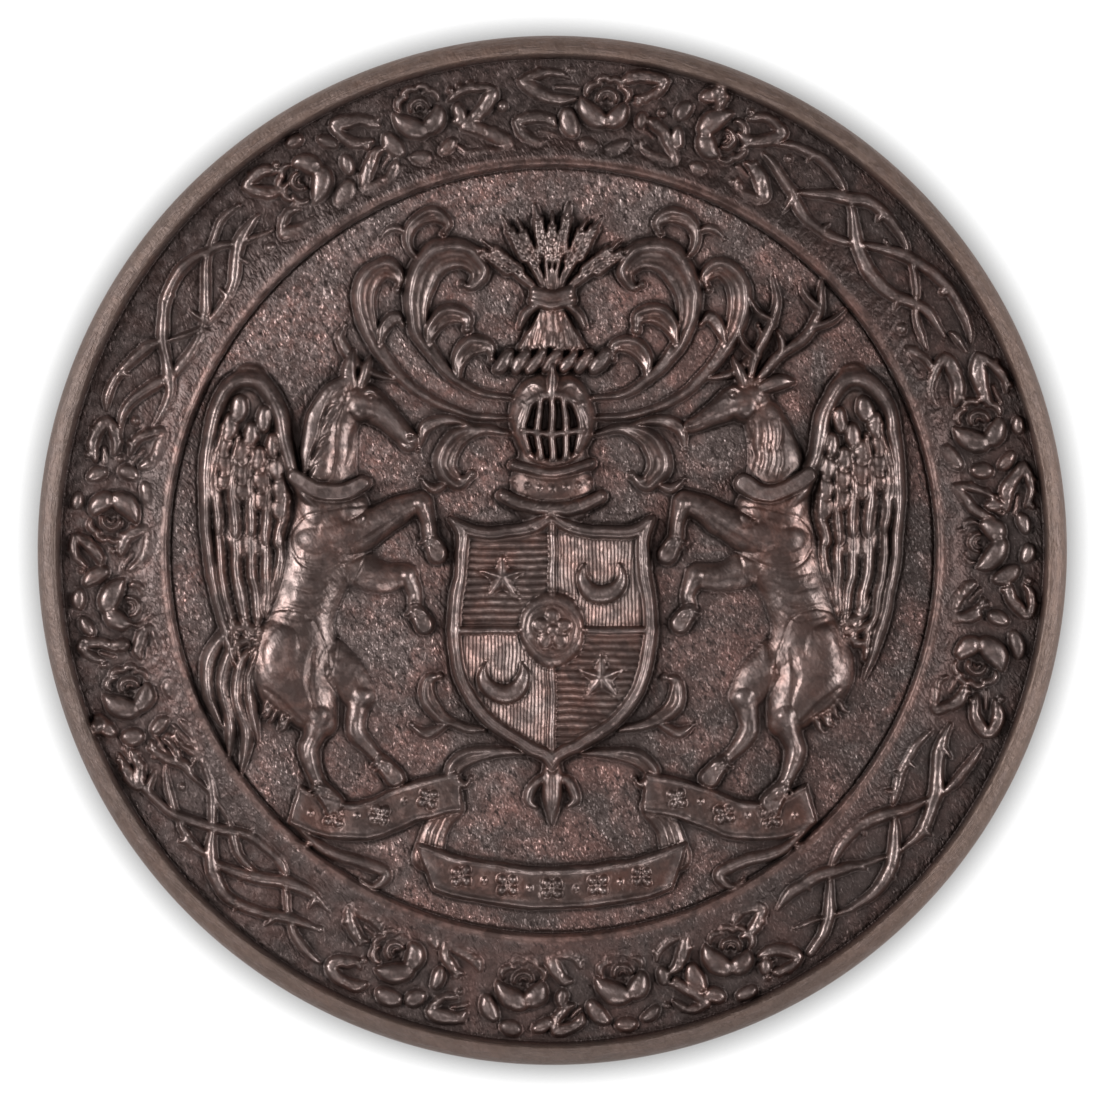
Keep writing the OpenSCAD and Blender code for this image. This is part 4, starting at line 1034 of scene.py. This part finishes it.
def band(relief, rows, rise, lift, ends):
    """A ribbon that waves, with hems, cut off beyond each end's x, y and inward direction."""
    box, along, across, half, widest, total = walk(relief, rows, 0.2)
    share = np.abs(across)
    x, y = relief.grid(box)
    inside = share < 1
    for end_x, end_y, to_x, to_y in ends:
        inside = inside & ((x - end_x) * to_x + (y - end_y) * to_y > 0)
    hem = 0.3 * np.exp(-(((share - 0.84) / 0.09) ** 2))
    flat = np.clip((1 - share) / 0.12, 0, 1) ** 0.6 * (0.7 + 0.1 * across + hem)
    wave = 0.11 * np.sin(2 * np.pi * along * total / 4.6 + 0.8 * across)
    near = np.clip(2 * blur_box(inside, 2), 0, 1)
    old = relief.z[box]
    lowered = old - 0.14 * near * relief.free(box)
    relief.z[box] = np.where(inside, np.maximum(old, lift + rise * flat + wave), lowered)


def blur_box(mask, cells):
    """A quick blur of a small mask."""
    z = np.pad(mask.astype(float), cells)
    rows = sum(np.roll(z, k, 0) for k in range(-cells, cells + 1))
    both = sum(np.roll(rows, k, 1) for k in range(-cells, cells + 1)) / (2 * cells + 1) ** 2
    return both[cells:-cells, cells:-cells]


def quatrefoil(relief, x, y, reach, turn=0):
    """Four round petals about a bead, on the ribbon."""
    base = float(sample(relief.z, np.array([x]), np.array([y]))[0]) - 0.02
    for k in range(4):
        angle = 45 + 90 * k + turn
        spot = shift((x, y), angle, 0.5 * reach)
        boss(relief, *spot, 0.38 * reach, 0.35 * reach, angle, 0.26, base, moat=0.06)
    boss(relief, x, y, 0.2 * reach, 0.2 * reach, 0, 0.26, base, moat=0.05)


def ribbon(relief):
    """Tails, folds and side ribbons, then the ribbon in front of them and the drop under the shield."""
    for sign in (-1, 1):
        pen = Pen(relief, sign)
        for rows in RIBBON_TAILS:
            pen.model(rows, 0.46, 0, thin=0.4, moat=0.08)
        pen.model(RIBBON_FOLD, 0.28, 0, plate, 0.1, moat=0.08)
        for off in (-0.35, 0.0, 0.35):
            pen.mark([(x + off, y, 0.12) for x, y, wide in RIBBON_FOLD], 0.1)
        ends = [(5.1 * sign, -13.4, sign, -0.1), (14.3 * sign, -14.0, -sign, -0.3)]
        band(relief, flipped(RIBBON_SIDE, sign), 0.5, 0.1, ends)
        for k in range(3):
            x = 6.9 + 2.6 * k
            y = 0.02 + np.interp(x, [row[0] for row in RIBBON_SIDE], [row[1] for row in RIBBON_SIDE])
            quatrefoil(relief, sign * x, y, 0.72, 10 * sign)
            pen.boss(x + 1.3, y - 0.16 * (1 - k), 0.16, 0.16, 0, 0.14, add=True)
    band(relief, RIBBON_FRONT, 0.56, 0.14, [(-7.1, -17.4, 1, 0.35), (7.1, -17.4, -1, 0.35)])
    middle = lambda x: -18.68 + 0.026 * x * x
    for k in range(-2, 3):
        x = 2.5 * k
        quatrefoil(relief, x, middle(x), 0.76)
        if k < 2:
            boss(relief, x + 1.25, middle(x + 1.25), 0.17, 0.17, 0, 0.15, add=True)
    model(relief, [(0, -12.0, 0.5), (0, -12.9, 0.62), (0, -13.9, 0.5), (0, -15.2, 0.08)], 0.7, 0, moat=0.1)
    for sign in (-1, 1):
        Pen(relief, sign).model(DROP_LEAF, 0.5, 0)
    mark(relief, [(0, -12.6, 0.1), (0, -14.2, 0.14)], -0.12)


def turned(relief):
    """The plain turned face: field, ring, trough and rim, which rounds off to the edge."""
    table = np.array(PROFILE)
    radius = relief.radius()
    # the last step to the edge would be upright
    away = np.clip((radius - RIM_R) / (EDGE_R - RIM_R), 0, 0.985)
    rounded_off = RIM_RISE - RIM_DROP * (1 - np.sqrt(1 - away**2))
    return np.where(radius > RIM_R, rounded_off, np.interp(radius, table[:, 0], table[:, 1]))


def sculpt():
    """The whole face, with the lumps where the casting bridged the rim."""
    relief = Relief()
    relief.z = turned(relief)
    relief.floor = relief.z.copy()
    border(relief)
    mantling(relief)
    supporter(Pen(relief, 1), True)
    supporter(Pen(relief, -1), False)
    ribbon(relief)
    shield(relief)
    helm(relief)
    crest(relief)
    return relief


def sample(z, x, y):
    """Values of a grid at points in millimetres."""
    u = np.clip((x + HALF) / PITCH, 0, COUNT - 1.001)
    v = np.clip((y + HALF) / PITCH, 0, COUNT - 1.001)
    i, j = v.astype(int), u.astype(int)
    fi, fj = v - i, u - j
    return (z[i, j] * (1 - fi) * (1 - fj) + z[i, j + 1] * (1 - fi) * fj
            + z[i + 1, j] * fi * (1 - fj) + z[i + 1, j + 1] * fi * fj)


def finished():
    """The relief as it came out of the mould: softened, uneven, its tallest forms eased down."""
    relief = sculpt()
    radius = relief.radius()
    floor = relief.floor
    x, y = np.meshgrid(relief.axis, relief.axis)
    x += noise(WANDER_X)
    y += noise(WANDER_Y)
    z = blur(floor, FLOOR_SOFT) + blur(sample(relief.z - floor, x, y), FORM_SOFT)
    raised = np.clip((z - floor) / 0.25, 0, 1)
    # a few broad unevennesses, and grain that fades beside the raised forms
    near = np.clip(2.4 * blur((raised > 0.35).astype(float), 0.4), 0, 1)
    rim = np.clip((radius - 27.25) / 0.15, 0, 1)
    sunk = np.interp(radius, *zip(*SUNK)) * (1 - rim) * (1 - raised)
    ring = np.exp(-(((radius - 21.5) / 0.25) ** 4))
    plain = (1 - 0.85 * rim) * (1 - 0.8 * ring) * (1 - 0.6 * near)
    z = z + plain * noise(FIELD_GRAIN)
    z = z + (1 - rim) * (noise(BROAD_SWELL) + raised * noise(FORM_GRAIN))
    high = np.clip(z - TALL, 0, None)
    relief.z = np.minimum(z, TALL) + TALL_MORE * np.tanh(high / TALL_EASE)
    # near and sunk also set where the bronze lays painted shade beside the forms and over the trough
    relief.facts = {"plain": plain, "rim": rim, "near": near * (1 - raised), "sunk": sunk}
    relief.facts |= {"raised": raised, "ring": ring}
    return relief


def facts(relief):
    """What the finish follows: hollows, crests, grain and zones, each from 0 to 1."""
    surface = blur(relief.z, SURFACE)
    curved = {}
    for name, (size, full) in CURVES.items():
        curved[name] = np.clip((blur(relief.z, size) - surface) / full, 0, 1)
    return curved | relief.facts


def grid_faces(rows, columns):
    """Four corners of each face of a grid of points."""
    first = (np.arange(rows - 1)[:, None] * columns + np.arange(columns - 1)[None]).ravel()
    return np.stack([first, first + 1, first + columns + 1, first + columns], 1)


def placed(name, data):
    """A new object in the scene."""
    thing = bpy.data.objects.new(name, data)
    bpy.context.scene.collection.objects.link(thing)
    return thing


def build_piece(name, points, normals, values, material):
    """A piece from a grid of points in millimetres, wound so that it faces along its normals."""
    rows, columns = points.shape[:2]
    flat, aims = points.reshape(-1, 3) * MM, normals.reshape(-1, 3)
    faces = grid_faces(rows, columns)
    sides = np.cross(flat[faces[:, 1]] - flat[faces[:, 0]], flat[faces[:, 3]] - flat[faces[:, 0]])
    if (sides * aims[faces[:, 0]]).sum() < 0:
        faces = faces[:, ::-1]
    mesh = bpy.data.meshes.new(name)
    mesh.vertices.add(len(flat))
    mesh.vertices.foreach_set("co", flat.astype(np.float32).ravel())
    mesh.loops.add(faces.size)
    mesh.loops.foreach_set("vertex_index", faces.astype(np.int32).ravel())
    mesh.polygons.add(len(faces))
    mesh.polygons.foreach_set("loop_start", np.arange(0, faces.size, 4, dtype=np.int32))
    mesh.update(calc_edges=True)
    mesh.validate()
    mesh.shade_smooth()
    mesh.normals_split_custom_set_from_vertices(aims.tolist())
    for key, value in values.items():
        layer = mesh.attributes.new(key, "FLOAT", "POINT")
        layer.data.foreach_set("value", value.astype(np.float32).ravel())
    mesh.materials.append(material)
    piece = placed(name, mesh)
    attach(piece, "root")
    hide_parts("medal")


def face_piece(name, x, y, relief, slopes, values, material):
    """A piece of the face over a grid of x and y."""
    slope_x, slope_y = (sample(slope, x, y) for slope in slopes)
    normals = np.stack([-slope_x, -slope_y, np.ones_like(x)], -1)
    normals /= np.linalg.norm(normals, axis=-1, keepdims=True)
    points = np.stack([x, y, FIELD + sample(relief.z, x, y)], -1)
    here = {key: sample(value, x, y) for key, value in values.items()}
    build_piece(name, points, normals, here, material)


def disc_grid(count, radius):
    """Even rows and columns spread from a square over a disc."""
    a = np.linspace(-1, 1, count + 1)
    x, y = np.meshgrid(a, a)
    steep = np.abs(y) > np.abs(x)
    far = np.where(steep, y, x)
    safe = np.where(far == 0, 1, far)
    angle = np.where(steep, np.pi / 2 - np.pi / 4 * x / safe, np.pi / 4 * y / safe)
    return radius * far * np.cos(angle), radius * far * np.sin(angle)


def edge_profile():
    """Radius and height down the outer edge, from the rim's shoulder round to the back."""
    start = math.asin((SHOULDER_R - RIM_R) / (EDGE_R - RIM_R))
    rows = []
    for t in np.linspace(start, math.pi / 2, ROUND_STEPS):
        height = FIELD + RIM_RISE - RIM_DROP * (1 - math.cos(t))
        rows.append((RIM_R + (EDGE_R - RIM_R) * math.sin(t), height))
    rows += [(EDGE_R, height) for height in WALL]
    for t in np.linspace(0, math.pi / 2, ROUND_STEPS):
        rows.append((EDGE_R - BACK_ROUND * (1 - math.cos(t)), BACK_ROUND * (1 - math.sin(t))))
    return np.array(rows)


def edge(relief, slopes, values, material):
    """The outer edge, whose first row meets the relief of the rim."""
    angles = np.radians(np.linspace(0, 360, 4 * ACROSS + 1))
    angles[-1] = 0
    profile = edge_profile()
    along = np.gradient(profile, axis=0)
    out = np.stack([-along[:, 1], along[:, 0]], 1)
    out *= np.sign(out[len(out) // 2, 0])
    out /= np.linalg.norm(out, axis=1, keepdims=True)
    c, s = np.cos(angles), np.sin(angles)
    points, normals = (
        np.stack([rows[:, :1] * c, rows[:, :1] * s, np.repeat(rows[:, 1:], len(angles), 1)], -1)
        for rows in (profile, out))
    x, y = points[0, :, 0], points[0, :, 1]
    points[0, :, 2] = FIELD + sample(relief.z, x, y)
    slope_x, slope_y = (sample(slope, x, y) for slope in slopes)
    first = np.stack([-slope_x, -slope_y, np.ones(len(angles))], -1)
    normals[0] = first / np.linalg.norm(first, axis=-1, keepdims=True)
    still = np.zeros(points.shape[:2])
    here = {key: still for key in values} | {"rim": still + 1, "plain": still + 0.15}
    build_piece("edge", points, normals, here, material)


def back(values, material):
    """The plain back, slightly hollow."""
    radius = EDGE_R - BACK_ROUND
    x, y = disc_grid(BACK_ACROSS, radius)
    hollowed = BACK_HOLLOW * (1 - np.hypot(x, y) / radius)
    normals = np.zeros((*x.shape, 3))
    normals[..., 2] = -1
    still = np.zeros_like(x)
    here = {key: still for key in values} | {"plain": still + 0.6}
    build_piece("back", np.stack([x, y, hollowed], -1), normals, here, material)


def medal(material):
    """Four pieces for the centre, four for the border, the edge and the back."""
    relief = finished()
    values = facts(relief)
    slope_y, slope_x = np.gradient(relief.z, PITCH)
    slopes = (slope_x, slope_y)
    x, y = disc_grid(ACROSS, FACE_R)
    half = ACROSS // 2
    for row in (0, 1):
        for column in (0, 1):
            part = tuple(slice(n * half, (n + 1) * half + 1) for n in (row, column))
            name = f"centre_{2 * row + column + 1}"
            face_piece(name, x[part], y[part], relief, slopes, values, material)
    radii = np.linspace(FACE_R, SHOULDER_R, BORDER_ROWS + 1)
    for quarter in range(4):
        angles = np.radians(np.linspace(90 * quarter, 90 * quarter + 90, ACROSS + 1))
        x, y = radii[:, None] * np.cos(angles)[None], radii[:, None] * np.sin(angles)[None]
        face_piece(f"border_{quarter + 1}", x, y, relief, slopes, values, material)
    edge(relief, slopes, values, material)
    back(values, material)


class Paint:
    """A short way to add and join shader nodes."""

    def __init__(self, tree):
        self.nodes, self.links = tree.nodes, tree.links

    def add(self, kind, settings=None, **sockets):
        node = self.nodes.new(kind)
        for key, value in (settings or {}).items():
            setattr(node, key, value)
        for key, value in sockets.items():
            self.put(node, key.replace("_", " "), value)
        return node

    def put(self, node, key, value):
        socket = node.inputs[int(key[1:])] if key[0] == "#" else node.inputs[key]
        if isinstance(value, bpy.types.NodeSocket):
            self.links.new(value, socket)
        else:
            socket.default_value = value

    def fact(self, name):
        return self.add("ShaderNodeAttribute", {"attribute_name": name}).outputs["Fac"]

    def math(self, operation, first, *others):
        """One value, or the product, sum, difference or largest of several."""
        for other in others:
            node = self.add("ShaderNodeMath", {"operation": operation})
            self.put(node, "#0", first)
            self.put(node, "#1", other)
            first = node.outputs[0]
        return first

    def times(self, *values):
        return self.math("MULTIPLY", *values)

    def most(self, *values):
        return self.math("MAXIMUM", *values)

    def noise(self, name, where):
        scale, detail, rough, warp = NOISES[name]
        more = {"Scale": scale, "Detail": detail, "Roughness": rough, "Distortion": warp}
        return self.add("ShaderNodeTexNoise", Vector=where, **more).outputs["Fac"]

    def span(self, value, low, high, to_low=0.0, to_high=1.0):
        node = self.add("ShaderNodeMapRange", {"clamp": True}, Value=value)
        for key, number in (("From Min", low), ("From Max", high), ("To Min", to_low), ("To Max", to_high)):
            self.put(node, key, number)
        return node.outputs["Result"]

    def blend(self, share, a, b):
        """A mix of two colours; a mix node has separate sockets for colours and for numbers."""
        node = self.add("ShaderNodeMix", {"data_type": "RGBA", "blend_type": "MIX"})
        for number, value in ((0, share), (6, a), (7, b)):
            self.put(node, f"#{number}", value)
        return node.outputs[2]

    def mix_value(self, share, a, b):
        node = self.add("ShaderNodeMix", {"data_type": "FLOAT"})
        for number, value in ((0, share), (2, a), (3, b)):
            self.put(node, f"#{number}", value)
        return node.outputs[0]

    def fill(self, name, settings):
        """Sets the values of a node, or links them."""
        for key, value in settings.items():
            self.put(self.nodes[name], key, value)


def polish_marks(p, zone, where, axes):
    """Fine marks that run round the rim."""
    radius = p.add("ShaderNodeVectorMath", {"operation": "LENGTH"}, Vector=where).outputs["Value"]
    slow_x, slow_y = (p.times(axes[key], POLISH_SLOW) for key in "XY")
    round_rim = p.add("ShaderNodeCombineXYZ", X=slow_x, Y=slow_y, Z=radius).outputs["Vector"]
    return p.times(zone["rim"], p.span(p.noise("polish", round_rim), 0.46, 0.66))


def darkness(p, zone, where, slanted, axes, mottle):
    """Black: dirt in the pits of the grain, random dark clouds, and dark patina with painted shade in the
    hollows, beside the forms and over the floor of the trough, which is shaded less in the lower half.
    """
    strokes = p.span(p.noise("strokes", slanted), 0.34, 0.62)
    pits = p.times(p.math("SUBTRACT", 1.0, strokes), p.span(zone["plain"], 0, 1, 0.15, 0.95))
    clouds = p.span(p.noise("clouds", where), 0.42, 0.57, 0.68, 0)
    clouds = p.times(clouds, p.span(zone["rim"], 0, 1, 1, 0.35))
    # painted shade, partly dark patina: in the hollows and beside the forms
    beside = p.most(p.times(zone["hollow"], 0.92), p.times(zone["deep"], 0.45), p.times(zone["near"], 0.84))
    # painted shade over the floor of the trough, partly dark patina, full in the upper half and weaker
    # below
    trough = p.times(zone["sunk"], p.span(mottle, 0, 1, 1, 0.75), p.span(axes["Y"], 0, 0.022, 0.8, 1))
    return p.most(beside, pits, clouds, trough)


def patina(p, zone, where, axes, mottle, polish, dark):
    """The colour: browns laid over each other, each by its share, painted light and painted shade among
    them.
    """
    rim, ring = zone["rim"], zone["ring"]
    patches = p.span(p.noise("patches", where), 0.4, 0.62)
    # grows from the upper left to the lower right: painted light at the upper left, painted shade at the
    # lower right
    place = p.math("SUBTRACT", axes["X"], p.times(axes["Y"], 0.45))
    # paler on the crests, partly wear and partly a painted highlight; less on the rim and the ring
    wear_and_sheen = p.times(zone["crest"], p.span(mottle, 0, 1, 0.4, 1), p.span(p.most(rim, ring), 0, 1, 1, 0.2))
    # painted shade on the rim, darker at the left and at the bottom
    rim_shade = p.most(p.span(axes["X"], -0.028, -0.012, 0.36, 0), p.span(axes["Y"], -0.028, -0.018, 0.34, 0))
    colour = p.blend(patches, GREY_BROWN, RED_BROWN)
    for share, shade in (
        (p.times(mottle, p.span(place, -0.022, 0.012, 1, 0)), PALE_BROWN),
        (p.span(place, 0.003, 0.02, 0, 0.46), SOOT_AND_SHADE),
        (p.times(zone["raised"], 0.75), p.blend(patches, COOL_BROWN, FORM_BROWN)),
        (p.times(rim, 0.85), RIM_BROWN),
        (p.times(polish, 0.24), RUBBED_AND_SHEEN),
        (wear_and_sheen, RUBBED_AND_SHEEN),
        (p.times(rim, rim_shade), SOOT_AND_SHADE),
        (p.times(ring, 0.6), FORM_BROWN),
        (dark, SOOT_AND_SHADE),
    ):
        colour = p.blend(share, colour, shade)
    return colour


def roughness(p, zone, mottle, dark):
    """How matt each zone is, laid over each other by share."""
    rough = p.mix_value(mottle, 0.31, 0.37)
    for share, value in (
        (zone["raised"], 0.33),
        (zone["rim"], 0.6),
        (zone["ring"], 0.48),
        (p.most(dark, zone["sunk"]), 0.5),
    ):
        rough = p.mix_value(share, rough, value)
    return rough


def grain(p, zone, where, slanted, polish):
    """Fine unevenness of the cast surface, with the polish marks of the rim."""
    share = p.times(p.span(zone["plain"], 0, 1, 0.12, 1), p.span(zone["sunk"], 0, 1, 1, 0.8))
    share = p.times(share, p.span(zone["raised"], 0, 1, 1, 0.35))
    fine = p.times(p.noise("grain", slanted), share)
    swell = p.times(p.noise("swell", where), p.span(zone["rim"], 0, 1, 0.18, 0.08))
    height = p.math("ADD", fine, p.times(polish, 0.25), swell)
    return p.add("ShaderNodeBump", Strength=1.0, Distance=GRAIN_HIGH, Height=height).outputs["Normal"]


def bronze():
    """Brown patina over bronze: darker in the hollows and rubbed pale on the crests, with painted shade in
    the hollows, beside the forms, over the trough and to the lower right, and painted highlights on the
    crests and painted light to the upper left.
    """
    material = bpy.data.materials.new("bronze")
    material.use_nodes = True
    p = Paint(material.node_tree)
    zone = {name: p.fact(name) for name in ZONES}
    where = p.add("ShaderNodeTexCoord").outputs["Object"]
    axes = p.add("ShaderNodeSeparateXYZ", Vector=where).outputs
    turn = (0, 0, math.radians(STROKE_TURN))
    slanted = p.add(
        "ShaderNodeMapping", {"vector_type": "TEXTURE"}, Vector=where, Rotation=turn, Scale=STROKE_STRETCH)
    slanted = slanted.outputs["Vector"]
    mottle = p.span(p.noise("mottle", where), 0.34, 0.68)
    polish = polish_marks(p, zone, where, axes)
    dark = darkness(p, zone, where, slanted, axes, mottle)
    p.fill("Principled BSDF", {
        "Base Color": patina(p, zone, where, axes, mottle, polish, dark),
        "Metallic": METALLIC,
        "IOR": REFRACTION,
        "Specular IOR Level": p.span(dark, 0, 1, 1.0, 0.25),
        "Specular Tint": GLOSS,
        "Roughness": roughness(p, zone, mottle, dark),
        "Normal": grain(p, zone, where, slanted, polish),
    })
    return material


def floor():
    """A white floor that glows of its own, so that its shade is a soft even rim round the medal."""
    mesh = bpy.data.meshes.new("floor")
    reach, low = 0.6, -0.00001
    corners = [(-reach, -reach, low), (reach, -reach, low), (reach, reach, low), (-reach, reach, low)]
    mesh.from_pydata(corners, [], [(0, 1, 2, 3)])
    material = bpy.data.materials.new("floor")
    material.use_nodes = True
    p = Paint(material.node_tree)
    open_share = p.add("ShaderNodeAmbientOcclusion", Distance=FLOOR_SHADE * MM).outputs["AO"]
    p.fill("Principled BSDF", {
        "Base Color": FLOOR_GREY,
        "Roughness": 0.9,
        "Specular IOR Level": 0.1,
        "Emission Color": WHITE,
        "Emission Strength": p.times(p.math("POWER", open_share, 1.9), FLOOR_GLOW),
    })
    mesh.materials.append(material)
    piece = placed("floor", mesh)


def panel(name, x, y, z, wide, tall, power):
    """A soft light that faces the medal, placed in millimetres."""
    light = bpy.data.lights.new(name, "AREA")
    light.shape = "RECTANGLE"
    light.size, light.size_y = wide * MM, tall * MM
    light.energy = power
    lamp = placed(name, light)
    lamp.location = (x * MM, y * MM, z * MM)
    lamp.rotation_euler = Vector((x, y, z)).to_track_quat("Z", "Y").to_euler()


def lights():
    """The soft lights and a faint even light from all round."""
    for row in PANELS:
        panel(*row)
    world = bpy.data.worlds.new("room")
    world.use_nodes = True
    background = world.node_tree.nodes["Background"]
    background.inputs["Color"].default_value = WHITE
    background.inputs["Strength"].default_value = AMBIENT
    bpy.context.scene.world = world


def camera():
    """Straight above the medal, so that the picture is as wide as the photo's at the level of the field."""
    data = bpy.data.cameras.new("camera")
    data.sensor_fit = "HORIZONTAL"
    data.sensor_width = SENSOR
    data.lens = SENSOR * (CAMERA_HIGH - FIELD) / PICTURE_WIDE
    piece = placed("camera", data)
    piece.location = (CAMERA_X * MM, CAMERA_Y * MM, CAMERA_HIGH * MM)
    bpy.context.scene.camera = piece
    bpy.context.scene.view_settings.view_transform = "Standard"


medal(bronze())
floor()
lights()
camera()
